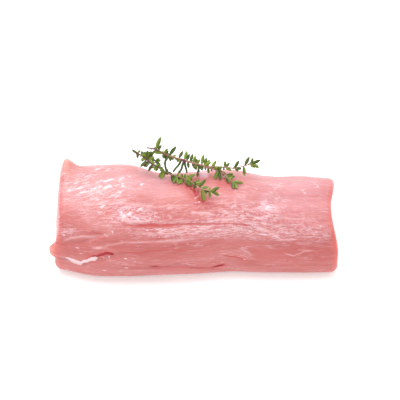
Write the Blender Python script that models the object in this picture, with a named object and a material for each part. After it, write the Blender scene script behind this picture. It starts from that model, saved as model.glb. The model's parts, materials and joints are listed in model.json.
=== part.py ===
"""A trimmed raw veal striploin lying on its flat side, with two sprigs of thyme on top.

Metres and degrees. +X runs along the loin and its muscle fibres, -Y is the front, +Z is up.
The origin is on the flat base, under the middle of the loin.
"""

import bisect
import math
import random

import bmesh
import bpy
from mathutils import Quaternion, Vector, noise
from mathutils.bvhtree import BVHTree

# Striploin: overall length, and its outline at evenly spaced stations from the left end to the right.
LENGTH = 0.274
FRONT = (0.0562, 0.0666, 0.0690, 0.0670, 0.0642, 0.0606, 0.0622, 0.0625, 0.0612)
BACK = (0.0675, 0.0640, 0.0640, 0.0530, 0.0570, 0.0600, 0.0510, 0.0515, 0.0480)
HEIGHT = (0.0620, 0.0660, 0.0660, 0.0610, 0.0610, 0.0620, 0.0590, 0.0580, 0.0570)
MEAN_HEIGHT, MEAN_RADIUS = 0.061, 0.050
WAIST = 0.36  # height of the widest line, as a share of the height
TOP_FULLNESS = 2.35  # exponents of the section's curve: 2 is an ellipse, more is squarer
BASE_FULLNESS = 3.4
BASE_SINK = 0.0025  # how far the round base is cut off flat where it rests
RIM_RADIUS = 0.006  # rounding of the cut ends' rims
END_BULGE = 0.0015
END_LUMPS = 0.0016  # unevenness of the cut faces

# The cut ends' slants: offset along X, and its change with y and with z.
LEFT_SLANT = (0.0008, -0.035, 0.050)
RIGHT_SLANT = (0.0040, 0.022, 0.185)
SLANT_FROM, SWELLING_FROM = 0.5, 0.9  # where they start, as shares of the way from the middle to an end
SLANT_MIDDLE, SLANT_TOP = 0.031, 0.060  # heights where the slant is nothing, and where it stops growing
# A wide hollow runs down and back across the right end: its fall in degrees, middle, half width, depth.
RIGHT_HOLLOW = (40, 0.0267, 0.0250, 0.0133)

# Swellings of the cut ends: middle y and z, width in y and z, reach along X.
LEFT_SWELLINGS = (
    (-0.052, 0.0350, 0.012, 0.0050, -0.0016),  # the end of the flap
    (-0.036, 0.0480, 0.016, 0.0100, 0.0014),
    (-0.048, 0.0120, 0.012, 0.007, -0.0016),
)
NUB = (-0.052, 0.0265, 0.0100, 0.0049, -0.0062)  # at the end of the flap: as a swelling, but square
RIGHT_SWELLINGS = ((-0.046, 0.0070, 0.014, 0.007, 0.0018),)

# Soft unevenness all over, longer along the fibres than across them.
LUMP_SIZE = 0.035
LUMP_STRETCH = 1.7
LUMP_DEPTH = 0.0012

# Angles round the section, from 0 at the back through 90 on top to 180 in front.
TOP_FROM, TOP_TO = 60, 120
FRONT_TO = 215
BACK_FROM = -35

# Furrows along the loin: route as (x, angle) points, depth, half width.
FURROWS = (
    # under the thin flap of muscle at the lower left, where the fat shows
    (((-0.140, 178), (-0.112, 181), (-0.094, 169), (-0.076, 161), (-0.055, 158)), 0.0020, 0.0026),
    # the same seam running on along the front and down towards the base
    (((-0.060, 158), (-0.030, 157), (0.004, 162), (0.022, 169), (0.044, 182)), 0.0006, 0.0026),
    # between the lowest strip of muscle and the loin
    (((-0.080, 182), (-0.034, 180), (-0.018, 175), (0.004, 187), (0.030, 203)), 0.0010, 0.0024),
    # above the flap
    (((-0.134, 154), (-0.112, 149), (-0.098, 142), (-0.084, 138)), 0.0014, 0.0022),
    # along the upper front
    (((-0.066, 129), (-0.045, 131), (0.004, 129), (0.036, 135), (0.070, 133)), 0.0008, 0.0024),
    # on the top, near the right end
    (((0.060, 104), (0.095, 99), (0.139, 96)), 0.0010, 0.0030),
    # two seams down the back
    (((-0.140, 28), (-0.070, 24), (0.000, 29), (0.070, 22)), 0.0016, 0.0030),
    (((-0.040, 2), (0.030, -5), (0.090, 3), (0.139, 0)), 0.0018, 0.0030),
)
FURROW_FADE = 0.014  # length over which a furrow's ends run out

# Single hollows and swellings: x, angle, half length, half width, height.
DENTS = (
    (0.027, 203, 0.007, 0.008, -0.0008),  # where the lowest strip of muscle ends
    (-0.010, 186, 0.030, 0.008, 0.0012),  # that strip's belly
    (0.002, 58, 0.005, 0.004, 0.0022),  # a tag of fat on the back edge
    (0.095, 158, 0.020, 0.006, 0.0010),
    (0.086, 60, 0.012, 0.012, -0.0016),
)
CORNER_TIP = (-0.1310, 57, 0.0105)  # the back left corner's raised tip: x, angle, height
CORNER_TIP_WIDTHS = (0.0040, 0.0065, 0.0065)  # towards the end, towards the middle, across

# Thyme. Each shoot is a route, the stem's radius at both ends, and its leaves. A leaf is its place along
# the shoot as a share, its angle from +X in the sprigs' leaning plane, how far it leans out of that
# plane, and its length in millimetres.
LONG_SPRIG = (
    (
        ((-0.049, 0.044, 0.08), (-0.039, 0.041, 0.0795), (-0.027, 0.035, 0.0765),
         (-0.015, 0.0325, 0.0745), (-0.0035, 0.0305, 0.0715), (0.0075, 0.0295, 0.0685),
         (0.0145, 0.029, 0.066)),
        (0.0007, 0.0011),
        ((0.09, 16, 10, 5), (0.13, 68, 12, 13.6), (0.16, 56, -23, 7.5), (0.17, -163, -8, 7),
         (0.17, 64, -30, 4.6), (0.26, -88, 12, 5.5), (0.26, -36, -20, 6.1), (0.27, 52, 15, 6.4),
         (0.27, 170, 10, 10.8), (0.28, -100, -10, 5), (0.29, 44, 15, 5), (0.31, -100, -25, 6.3),
         (0.31, 88, -20, 4), (0.35, 53, 10, 12), (0.35, 121, -15, 5.6), (0.37, -90, -30, 5.6),
         (0.37, -86, -12, 5.5), (0.38, -47, 20, 4.5), (0.39, 8, 20, 4.5), (0.42, 58, -35, 4.6),
         (0.44, -42, 25, 4.1), (0.46, -39, 10, 5.8), (0.5, 61, 5, 8.7), (0.54, -152, 10, 5.4),
         (0.59, 75, -8, 10), (0.62, 67, 20, 7.8), (0.64, -83, -10, 7.1), (0.67, 69, -5, 8.7),
         (0.7, 103, -10, 4.5), (0.72, -65, -12, 7.9), (0.72, 69, 20, 7.8), (0.73, -94, 10, 4.4),
         (0.75, -76, -15, 7.1), (0.75, 66, -30, 6.6), (0.76, -117, 15, 5.1), (0.78, 58, 20, 5.7),
         (0.79, 110, 12, 5), (0.82, -65, 20, 6.8), (0.85, 80, -8, 11.3), (0.87, -101, -20, 5),
         (0.88, 26, 20, 8.5), (0.89, 74, 7, 8.7), (0.9, -77, 15, 4.4), (0.9, 33, 10, 6.6),
         (0.91, 58, -20, 8.9), (0.94, 81, 15, 4.2), (0.95, -83, -10, 6.2), (1, 49, 10, 5.4),
         (1, 56, -8, 9.5)),
    ),
    (
        ((0.0105, 0.0293, 0.0675), (0.021, 0.03, 0.067), (0.032, 0.03, 0.066), (0.038, 0.0297, 0.065),
         (0.0435, 0.031, 0.066), (0.05, 0.0328, 0.0667), (0.0555, 0.034, 0.0677)),
        (0.00075, 0.00045),
        ((0.38, 86, 8, 6.1), (0.39, -30, 15, 6.8), (0.4, 48, -12, 6.3), (0.45, -44, 15, 4.3),
         (0.59, 60, 8, 9.1), (0.6, -35, 12, 4.7), (0.6, 9, -15, 6.5), (0.62, -4, 15, 6),
         (0.8, -83, 12, 9.7), (0.82, 62, 6, 10.4), (0.96, -61, 25, 4.3), (0.97, 73, -12, 6.8),
         (0.98, -44, -25, 6.1), (0.99, -31, 14, 8.5), (0.99, 26, 6, 9.4), (1, -26, 10, 7.1),
         (1, 37, -10, 5.1)),
    ),
    (
        ((0.0115, 0.0292, 0.0672), (0.022, 0.027, 0.064), (0.028, 0.0215, 0.0637),
         (0.0305, 0.0165, 0.0638), (0.034, 0.0118, 0.0642), (0.0362, 0.0095, 0.0646)),
        (0.0008, 0.00045),
        ((0.13, 68, -25, 6), (0.15, 37, 12, 4.4), (0.18, 29, 30, 4.6), (0.25, 31, 10, 7.1),
         (0.29, -110, 32, 10.6), (0.3, -6, 30, 4.3), (0.3, 107, -35, 4.3), (0.31, 52, 25, 5.9),
         (0.33, -80, 40, 11.2), (0.35, 101, 20, 5), (0.36, -20, -10, 5.4), (0.37, -20, -6, 7),
         (0.4, -35, 20, 5.2), (0.61, 11, 15, 7.2), (0.62, 17, 8, 8), (0.66, -67, 42, 8.5),
         (0.66, -59, 38, 7.4), (0.67, -78, 43, 8.5), (0.69, 5, -10, 8.7), (0.76, 1, 15, 5),
         (0.85, 55, -20, 4.7), (0.94, -79, 46, 10.7), (0.98, -8, 6, 10.2), (0.99, -3, 28, 5.6),
         (1, -61, 36, 9.9)),
    ),
    (
        ((-0.027, 0.0351, 0.0765), (-0.0304, 0.0315, 0.0737), (-0.031, 0.029, 0.0706),
         (-0.0297, 0.0262, 0.0646)),
        (0.0012, 0.001),
        ((0.05, -32, 12, 5.8),),
    ),
    (
        ((-0.0145, 0.0324, 0.0744), (-0.0173, 0.0312, 0.0689), (-0.0206, 0.028, 0.0665),
         (-0.0232, 0.0255, 0.0639)),
        (0.0012, 0.001),
        (),
    ),
    (
        ((-0.012, 0.0319, 0.0738), (-0.0139, 0.03, 0.0689), (-0.0149, 0.028, 0.0655),
         (-0.0175, 0.0256, 0.0626)),
        (0.0012, 0.001),
        ((0.98, -114, 10, 4.4),),
    ),
    (
        ((-0.0116, 0.0318, 0.0737), (-0.0111, 0.0296, 0.0687), (-0.0101, 0.028, 0.0657),
         (-0.0095, 0.0252, 0.0634)),
        (0.0012, 0.001),
        (),
    ),
    (
        ((0.0021, 0.0299, 0.07), (0.0022, 0.0278, 0.0665), (0.0011, 0.024, 0.0631)),
        (0.0012, 0.001),
        ((0.85, -96, 8, 4.4),),
    ),
)
SHORT_SPRIG = (
    (
        ((-0.064, 0.046, 0.076), (-0.0565, 0.042, 0.073), (-0.0505, 0.0385, 0.0705),
         (-0.043, 0.0335, 0.067), (-0.0355, 0.03, 0.064), (-0.029, 0.0272, 0.0613),
         (-0.0205, 0.0225, 0.0612), (-0.013, 0.018, 0.062), (-0.0075, 0.013, 0.063),
         (-0.0015, 0.0024, 0.0668), (0.0045, -0.0077, 0.07), (0.0138, -0.0134, 0.0718)),
        (0.00065, 0.00045),
        ((0.03, -43, 10, 6.5), (0.06, -89, -10, 5.3), (0.06, 43, 15, 4.3), (0.06, 151, 8, 6),
         (0.09, -4, 20, 5.8), (0.11, 53, -20, 6.1), (0.11, 87, -10, 5.5), (0.12, 50, 25, 4.3),
         (0.13, -108, 12, 5.1), (0.13, 21, -15, 6.7), (0.15, 12, 8, 8.9), (0.16, -176, 15, 5.4),
         (0.16, 54, 15, 9.7), (0.18, 61, -15, 4.5), (0.19, -112, -25, 8.2), (0.19, 31, 8, 7.2),
         (0.2, -156, -15, 7.7), (0.2, -12, 12, 6.7), (0.21, -143, 20, 6.2), (0.21, -36, -12, 5.6),
         (0.23, -65, 20, 5.2), (0.24, -120, 8, 8.4), (0.25, -24, -10, 4.9), (0.26, -11, 25, 4.6),
         (0.27, -74, -10, 6), (0.27, 12, -15, 6.2), (0.29, -157, -20, 4.1), (0.29, -137, 15, 4.5),
         (0.29, -89, -15, 4.1), (0.29, -8, 10, 6.3), (0.32, -49, 12, 5.5), (0.36, -125, 18, 8.2),
         (0.37, -112, 34, 9.5), (0.37, -37, -8, 5.3), (0.38, -118, 27, 8.1), (0.38, 142, 12, 6.4),
         (0.39, -8, 15, 6.3), (0.39, 57, -25, 4.6), (0.45, -74, 48, 10.8), (0.45, -27, 22, 11),
         (0.49, -101, 48, 11.3), (0.5, -74, 48, 9.8), (0.51, -24, -2, 5.1), (0.56, -91, 46, 8.2),
         (0.57, -127, 42, 10.1), (0.57, 103, 25, 5), (0.6, -61, 46, 11.3), (0.6, 25, 4, 11.5),
         (0.6, 89, -20, 5.8), (0.62, -57, 43, 9.2), (0.63, 14, -15, 5.9), (0.64, -52, 31, 6.5),
         (0.66, 109, 15, 4.8), (0.68, -25, 10, 5), (0.69, 123, -10, 9.2), (0.74, -158, -20, 4.7),
         (0.76, -85, -15, 4.8), (0.76, 45, 8, 7), (0.77, 22, 10, 5.8), (0.8, -19, 20, 5.3),
         (0.8, 119, 20, 4.1), (0.82, 21, 10, 6.9), (0.84, 44, -6, 10.8), (0.89, 16, 8, 7.4),
         (0.9, -79, 5, 12.6), (0.92, -22, 12, 5.9), (0.93, -56, -15, 5.9), (0.98, 86, -30, 4),
         (0.99, -89, -8, 7.1), (0.99, 6, 25, 4.8), (1, -25, -6, 9.4), (1, 7, 10, 5.7), (1, 24, 8, 9.1)),
    ),
    (
        ((-0.0516, 0.0391, 0.071), (-0.0471, 0.0402, 0.0728), (-0.0431, 0.0402, 0.0735)),
        (0.00045, 0.00035),
        ((0.06, 68, 10, 7.7), (0.26, 126, 20, 4.3), (0.43, 52, -10, 5.4), (0.46, 34, -12, 8),
         (0.5, 116, -25, 4.1), (0.56, 20, 15, 4.4), (0.69, 112, 15, 4.6)),
    ),
    (
        ((-0.0459, 0.0354, 0.0683), (-0.0427, 0.0372, 0.0685), (-0.0395, 0.0385, 0.0693)),
        (0.00045, 0.00035),
        ((0.27, 47, -20, 4.2), (0.58, 109, -20, 4.1), (0.69, -39, 10, 8.1), (0.81, 21, 8, 4.8),
         (0.84, -7, -10, 5.5)),
    ),
    (
        ((-0.0502, 0.0382, 0.0703), (-0.0502, 0.0345, 0.0682), (-0.0527, 0.031, 0.0671)),
        (0.00045, 0.00035),
        ((0.21, -127, -10, 5.8), (0.27, -134, 10, 8), (0.57, -104, -15, 4.1)),
    ),
    (
        ((-0.0431, 0.0336, 0.067), (-0.0455, 0.0305, 0.0656), (-0.0474, 0.028, 0.064)),
        (0.00045, 0.00035),
        ((0.06, -91, -30, 4.7),),
    ),
)
SPRIGS = {"thyme_sprig_long": LONG_SPRIG, "thyme_sprig_short": SHORT_SPRIG}
SPRIG_SEEDS = {"thyme_sprig_long": 11, "thyme_sprig_short": 23}
STEM_STEP = 0.0045
ROUTE_STEPS = 200  # for measuring along a route
REST_GAP = 0.0004  # between the thyme and the meat it rests on

PLANE_LEAN = 40  # how far the sprigs' plane leans back from upright
LEAF_WIDTH = (0.0018, 0.16)  # the width of a leaf of no length, and how much it grows with length
LEAF_THICKNESS = 0.00045
LEAF_STATIONS = ((0.30, 0.88), (0.70, 1.0))  # along the leaf, and how much of its width it has there
SMALL_LEAF, SMALL_LEAF_STATIONS = 0.0086, ((0.52, 1.0),)  # the same for leaves shorter than this
LEAF_CURL = 0.12  # how far the tip bends back, as a share of the leaf's length
TWIST_SPREAD = 30  # how far a leaf's tip may turn about its midrib, each way
LEAF_FACING = Vector((0.1, -0.55, 0.83))  # the leaves turn their tops this way

# Leaves behind the shoots: one for every few of the others, pointing back.
BACK_LEAF_EVERY, BACK_LEAF_LENGTH, BACK_LEAF_TILT = 5, 0.0070, 62
BACK_LEAF_SPREAD = 55

CUTS_ALONG, CUTS_ACROSS, CUTS_UP = 38, 8, 14


def blend_stations(values, share):
    """Smooth curve through evenly spaced values; share runs from 0 to 1."""
    spans = len(values) - 1
    place = min(max(share, 0.0), 1.0) * spans
    i = min(int(place), spans - 1)
    t = place - i
    before, a, b, after = (values[min(max(i + k, 0), spans)] for k in (-1, 0, 1, 2))
    slope_a, slope_b = (b - before) / 2, (after - a) / 2
    return (
        a * (2 * t**3 - 3 * t**2 + 1)
        + slope_a * (t**3 - 2 * t**2 + t)
        + b * (3 * t**2 - 2 * t**3)
        + slope_b * (t**3 - t**2)
    )


def smooth_step(low, high, value):
    t = min(max((value - low) / (high - low), 0.0), 1.0)
    return t * t * (3 - 2 * t)


def bump(*offsets_and_widths):
    """A soft bump of height 1, given how far off its centre each coordinate is and its width."""
    return math.exp(-0.5 * sum((off / width) ** 2 for off, width in offsets_and_widths))


def end_profile(u):
    """(x, inset) along the loin: straight, then a quarter circle into the cut end."""
    straight = LENGTH / 2 - RIM_RADIUS
    path = abs(u) * (straight + RIM_RADIUS * math.pi / 2)
    if path <= straight:
        return math.copysign(path, u), 0.0
    turn = (path - straight) / RIM_RADIUS
    reach = straight + RIM_RADIUS * math.sin(turn)
    return math.copysign(reach, u), RIM_RADIUS * (1 - math.cos(turn))


def angle_round(v, w):
    """Angle round the section for a point on the edge of the square from -1 to 1."""
    across, up = (v + 1) / 2, (w + 1) / 2
    if w >= 1:
        return TOP_TO + across * (TOP_FROM - TOP_TO)
    if w <= -1:
        return FRONT_TO + across * (360 + BACK_FROM - FRONT_TO)
    if v > 0:
        return BACK_FROM + up * (TOP_FROM - BACK_FROM)
    return FRONT_TO + up * (TOP_TO - FRONT_TO)


def section(x, angle, inset):
    """(y, z) of the plain section at x, and the direction in which it faces."""
    share = x / LENGTH + 0.5
    c, s = math.cos(math.radians(angle)), math.sin(math.radians(angle))
    height = blend_stations(HEIGHT, share)
    waist = WAIST * height
    half = blend_stations(BACK if c > 0 else FRONT, share) - inset
    if s > 0:
        fullness, rise = TOP_FULLNESS, height - waist - inset
    else:
        fullness, rise = BASE_FULLNESS, waist + BASE_SINK - inset
    radius = (abs(c) ** fullness + abs(s) ** fullness) ** (-1 / fullness)
    facing_y = math.copysign(abs(c) ** (fullness - 1) / half, c)
    facing_z = math.copysign(abs(s) ** (fullness - 1) / rise, s)
    return half * radius * c, waist + rise * radius * s, Vector((0, facing_y, facing_z)).normalized()


def route_angle(route, x):
    """Angle of a furrow at x, and how much of it is left there: 1 along it, 0 past its ends."""
    first, last = route[0][0], route[-1][0]
    left = smooth_step(first, first + FURROW_FADE, x) * smooth_step(last, last - FURROW_FADE, x)
    if abs(first) > LENGTH / 2:
        left = smooth_step(last, last - FURROW_FADE, x)
    if abs(last) > LENGTH / 2:
        left = smooth_step(first, first + FURROW_FADE, x)
    for (x_a, angle_a), (x_b, angle_b) in zip(route, route[1:]):
        if x <= x_b:
            return angle_a + (angle_b - angle_a) * smooth_step(x_a, x_b, x), left
    return route[-1][1], left


def relief(x, angle, girth_per_degree):
    """Height of the uneven surface over the plain section."""
    turn = math.radians(angle)
    place = Vector((x / LUMP_STRETCH, math.cos(turn) * MEAN_RADIUS, math.sin(turn) * MEAN_RADIUS))
    height = LUMP_DEPTH * noise.noise(place / LUMP_SIZE)
    for route, depth, half_width in FURROWS:
        middle, left = route_angle(route, x)
        height -= depth * left * bump(((angle - middle) * girth_per_degree, half_width))
    for dent_x, dent_angle, half_length, half_width, rise in DENTS:
        off_angle = (angle - dent_angle) * girth_per_degree
        height += rise * bump((x - dent_x, half_length), (off_angle, half_width))
    tip_x, tip_angle, tip_rise = CORNER_TIP
    to_end, to_middle, across = CORNER_TIP_WIDTHS
    along = to_end if x < tip_x else to_middle
    return height + tip_rise * bump((x - tip_x, along), ((angle - tip_angle) * girth_per_degree, across))


def end_shift(x, y, z):
    """How far the slanting, uneven cut ends move a point along X."""
    nearness = abs(x) * 2 / LENGTH
    slant_terms, swellings = (LEFT_SLANT, LEFT_SWELLINGS) if x < 0 else (RIGHT_SLANT, RIGHT_SWELLINGS)
    offset, by_y, by_z = slant_terms
    slant = offset + by_y * y + by_z * (min(z, SLANT_TOP) - SLANT_MIDDLE)
    if x >= 0:
        fall, middle, half_width, depth = RIGHT_HOLLOW
        across = y * math.sin(math.radians(fall)) + z * math.cos(math.radians(fall))
        slant -= depth * bump((across - middle, half_width))
    swelling = sum(
        reach * bump((y - middle_y, width_y), (z - middle_z, width_z))
        for middle_y, middle_z, width_y, width_z, reach in swellings
    )
    if x < 0:
        middle_y, middle_z, width_y, width_z, reach = NUB
        swelling += reach * math.exp(-(((y - middle_y) / width_y) ** 6) - ((z - middle_z) / width_z) ** 6)
    slant_here = smooth_step(SLANT_FROM, 1.0, nearness)
    return slant_here * slant + smooth_step(SWELLING_FROM, 1.0, nearness) * swelling


def striploin_point(u, v, w):
    """The striploin's surface at a point of the block's surface, which runs from -1 to 1 each way."""
    radius = max(abs(v), abs(w))
    angle = angle_round(v / radius, w / radius) if radius else 0.0
    x, inset = end_profile(u)
    y, z, facing = section(x, angle, inset)
    girth_per_degree = math.hypot(y, z - MEAN_HEIGHT / 2) * math.radians(1)
    height = relief(x, angle if angle < BACK_FROM + 360 else angle - 360, girth_per_degree)
    y, z = y + height * facing.y, z + height * facing.z
    if abs(u) >= 1:
        waist = WAIST * blend_stations(HEIGHT, x / LENGTH + 0.5)
        y, z = y * radius, waist + (z - waist) * radius
        lumps = END_LUMPS * noise.noise(Vector((x, y, z)) / LUMP_SIZE)
        x += math.copysign((END_BULGE + lumps) * (1 - radius**2), u)
    x += end_shift(x, y, z)
    return Vector((x, y, max(z, 0.0)))


def make_striploin():
    """A block of quads, shaped point by point."""
    block = bmesh.new()
    bmesh.ops.create_cube(block, size=2)
    for axis, cuts in enumerate((CUTS_ALONG, CUTS_ACROSS, CUTS_UP)):
        parallel = [
            edge for edge in block.edges if abs(edge.verts[0].co[axis] - edge.verts[1].co[axis]) > 1
        ]
        bmesh.ops.subdivide_edges(block, edges=parallel, cuts=cuts, use_grid_fill=True)
    for vertex in block.verts:
        vertex.co = striploin_point(*vertex.co)
    bmesh.ops.recalc_face_normals(block, faces=block.faces)
    return add_object("striploin", block)


def walk_route(route, step):
    """Evenly spaced points along a smooth curve through the route."""
    fine = [
        Vector(blend_stations([point[k] for point in route], i / ROUTE_STEPS) for k in range(3))
        for i in range(ROUTE_STEPS + 1)
    ]
    travelled = [0.0]
    for a, b in zip(fine, fine[1:]):
        travelled.append(travelled[-1] + (b - a).length)
    count = max(2, round(travelled[-1] / step))
    points = [fine[bisect.bisect_left(travelled, travelled[-1] * k / count)] for k in range(count)]
    return points + [fine[-1]]


def make_stem(name, route, radii):
    """A tapering tube along the route."""
    points = walk_route(route, STEM_STEP)
    curve = bpy.data.curves.new(name, "CURVE")
    curve.dimensions = "3D"
    curve.bevel_depth = 1.0
    curve.bevel_resolution = 0  # thyme stems are square
    curve.use_fill_caps = True
    spline = curve.splines.new("POLY")
    spline.points.add(len(points) - 1)
    for i, (place, point) in enumerate(zip(spline.points, points)):
        place.co = (*point, 1)
        place.radius = radii[0] + (radii[1] - radii[0]) * i / (len(points) - 1)
    tube = bpy.data.objects.new(name, curve)
    built = bmesh.new()
    built.from_mesh(bpy.data.meshes.new_from_object(tube))
    bpy.data.objects.remove(tube)
    bmesh.ops.remove_doubles(built, verts=built.verts, dist=1e-5)
    bmesh.ops.recalc_face_normals(built, faces=built.faces)
    return built


def leaf_outline(base, along, facing, length, twist):
    """Mid-surface of a small narrow leaf, curling and twisting: its points, and its faces as triangles."""
    width = LEAF_WIDTH[0] + LEAF_WIDTH[1] * length
    points, faces = [base], [(0, 2, 1)]
    for share, fullness in SMALL_LEAF_STATIONS if length < SMALL_LEAF else LEAF_STATIONS:
        level = facing.copy()
        level.rotate(Quaternion(along, twist * share))
        half = along.cross(level) * (0.5 * width * fullness)
        rib = base + along * (length * share) - facing * (LEAF_CURL * length * share**2)
        points += [rib - half, rib + half]
    points.append(base + along * length - facing * (LEAF_CURL * length))
    for left in range(1, len(points) - 3, 2):
        faces += [(left, left + 1, left + 3), (left, left + 3, left + 2)]
    faces.append((len(points) - 3, len(points) - 2, len(points) - 1))
    return points, faces


def rest_on(ground, point, clearance):
    """The point, lifted where needed to lie clear of the meat under it."""
    under = ground.ray_cast(Vector((point.x, point.y, 1.0)), Vector((0, 0, -1)))[0]
    if under is None:
        return point
    return Vector((point.x, point.y, max(point.z, under.z + clearance)))


def make_leaf(base, along, facing, length, twist, ground):
    points, faces = leaf_outline(base, along, facing, length, twist)
    built = bmesh.new()
    clearance = REST_GAP + LEAF_THICKNESS
    corners = [built.verts.new(points[0])]
    corners += [built.verts.new(rest_on(ground, point, clearance)) for point in points[1:]]
    for face in faces:
        built.faces.new([corners[i] for i in face])
    built.normal_update()
    sheet = built.faces[:] + built.edges[:] + built.verts[:]
    bmesh.ops.solidify(built, geom=sheet, thickness=LEAF_THICKNESS)
    bmesh.ops.recalc_face_normals(built, faces=built.faces)
    return built


def leaves_of_shoot(shoot, draw):
    """(base, direction, facing, length, twist) of each leaf, those that point back included."""
    route, _, leaves = shoot
    points = walk_route(route, STEM_STEP)
    spans = len(points) - 1
    lean_back = math.radians(PLANE_LEAN)
    plane_up = Vector((0, math.sin(lean_back), math.cos(lean_back)))
    plane_out = Vector((0, -math.cos(lean_back), math.sin(lean_back)))
    found = []
    for k, (share, angle, lean, millimetres) in enumerate(leaves):
        i = min(int(share * spans), spans - 1)
        base = points[i].lerp(points[i + 1], share * spans - i)
        rows = [(angle, lean, millimetres / 1000)]
        if k % BACK_LEAF_EVERY == 0:
            backwards = angle + 180 + draw.uniform(-1, 1) * BACK_LEAF_SPREAD
            rows.append((backwards, -BACK_LEAF_TILT, BACK_LEAF_LENGTH))
        for turned, leaning, length in rows:
            turn, tilt = math.radians(turned), math.radians(leaning)
            along = (Vector((math.cos(turn), 0, 0)) + plane_up * math.sin(turn)) * math.cos(tilt)
            along += plane_out * math.sin(tilt)
            facing = (LEAF_FACING - along * LEAF_FACING.dot(along)).normalized()
            twist = math.radians(draw.uniform(-1, 1) * TWIST_SPREAD)
            found.append((base, along, facing, length, twist))
    return found


def fill_cavities(mesh):
    """Fills the pockets that crossing leaves close off, by keeping only the outer skin."""
    built = bmesh.new()
    built.from_mesh(mesh)
    unseen, skins = set(built.verts), []
    while unseen:
        front, skin = [unseen.pop()], []
        while front:
            vertex = front.pop()
            skin.append(vertex)
            reached = {edge.other_vert(vertex) for edge in vertex.link_edges} & unseen
            unseen -= reached
            front.extend(reached)
        skins.append(skin)
    outer = max(skins, key=len)
    bmesh.ops.delete(built, geom=[v for skin in skins if skin is not outer for v in skin], context="VERTS")
    built.to_mesh(mesh)
    built.free()


def join_pieces(name, pieces):
    """One Boolean union of all the pieces, applied."""
    first, rest = pieces[0], pieces[1:]
    holder = bpy.data.collections.new(name + "_pieces")
    objects = [add_object(f"{name}_{i}", built, holder) for i, built in enumerate(rest)]
    bpy.context.scene.collection.children.link(holder)
    sprig = add_object(name, first)
    union = sprig.modifiers.new("union", "BOOLEAN")
    union.operation = "UNION"
    union.solver = "EXACT"
    union.operand_type = "COLLECTION"
    union.collection = holder
    bpy.context.view_layer.update()
    joined = bpy.data.meshes.new_from_object(sprig.evaluated_get(bpy.context.evaluated_depsgraph_get()))
    fill_cavities(joined)
    sprig.modifiers.clear()
    sprig.data = joined
    for obj in objects:
        bpy.data.objects.remove(obj)
    bpy.data.collections.remove(holder)
    return sprig


def make_sprigs(ground):
    """Each sprig's stems and leaves as one solid, leaving out leaves that would cross the other sprig."""
    stems = {
        name: [make_stem(name, route, radii) for route, radii, _ in shoots] for name, shoots in SPRIGS.items()
    }
    placed = {name: [BVHTree.FromBMesh(stem) for stem in pieces] for name, pieces in stems.items()}
    made = []
    for name, shoots in SPRIGS.items():
        draw = random.Random(SPRIG_SEEDS[name])
        pieces = stems[name]
        others = [tree for other, trees in placed.items() if other != name for tree in trees]
        for shoot in shoots:
            for leaf_values in leaves_of_shoot(shoot, draw):
                leaf = make_leaf(*leaf_values, ground)
                tree = BVHTree.FromBMesh(leaf)
                if any(tree.overlap(other) for other in others):
                    leaf.free()
                    continue
                pieces.append(leaf)
                placed[name].append(tree)
        made.append(join_pieces(name, pieces))
    return made


def clear_scene():
    for obj in list(bpy.data.objects):
        bpy.data.objects.remove(obj, do_unlink=True)


def add_object(name, built, collection=None):
    mesh = bpy.data.meshes.new(name)
    built.to_mesh(mesh)
    built.free()
    mesh.shade_smooth()
    obj = bpy.data.objects.new(name, mesh)
    (collection or bpy.context.collection).objects.link(obj)
    return obj


def paint(obj, name, color, roughness):
    material = bpy.data.materials.new(name)
    material.use_nodes = True
    shader = material.node_tree.nodes["Principled BSDF"]
    shader.inputs["Base Color"].default_value = (*color, 1)
    shader.inputs["Roughness"].default_value = roughness
    shader.inputs["Metallic"].default_value = 0
    obj.data.materials.clear()
    obj.data.materials.append(material)


def main():
    clear_scene()
    striploin = make_striploin()
    paint(striploin, "raw_veal", (0.78, 0.27, 0.26), 0.35)
    bpy.context.view_layer.update()
    ground = BVHTree.FromObject(striploin, bpy.context.evaluated_depsgraph_get())
    for sprig in make_sprigs(ground):
        paint(sprig, "thyme_leaf", (0.10, 0.21, 0.05), 0.55)


main()
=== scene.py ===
"""A raw veal striploin with thyme on top, dressed for a product picture.

The loin is one block of quads, shaped point by point round its section, so that its seams, fibres and
membrane follow the muscle. The thyme's stems and leaves follow the same routes and rules as the solid
ones in the frame. +X runs along the fibres, -Y is the front, +Z is up. Single sizes are in metres, the
lengths in tables are in millimetres, their strengths in percent, and angles in degrees.
"""

import json
import random
from math import cos, exp, pi, radians, sin

import bmesh
import bpy
import numpy as np
from bpy.props import FloatProperty, FloatVectorProperty, IntProperty, PointerProperty, StringProperty
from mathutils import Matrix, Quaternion, Vector, noise
from mathutils.bvhtree import BVHTree

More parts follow.
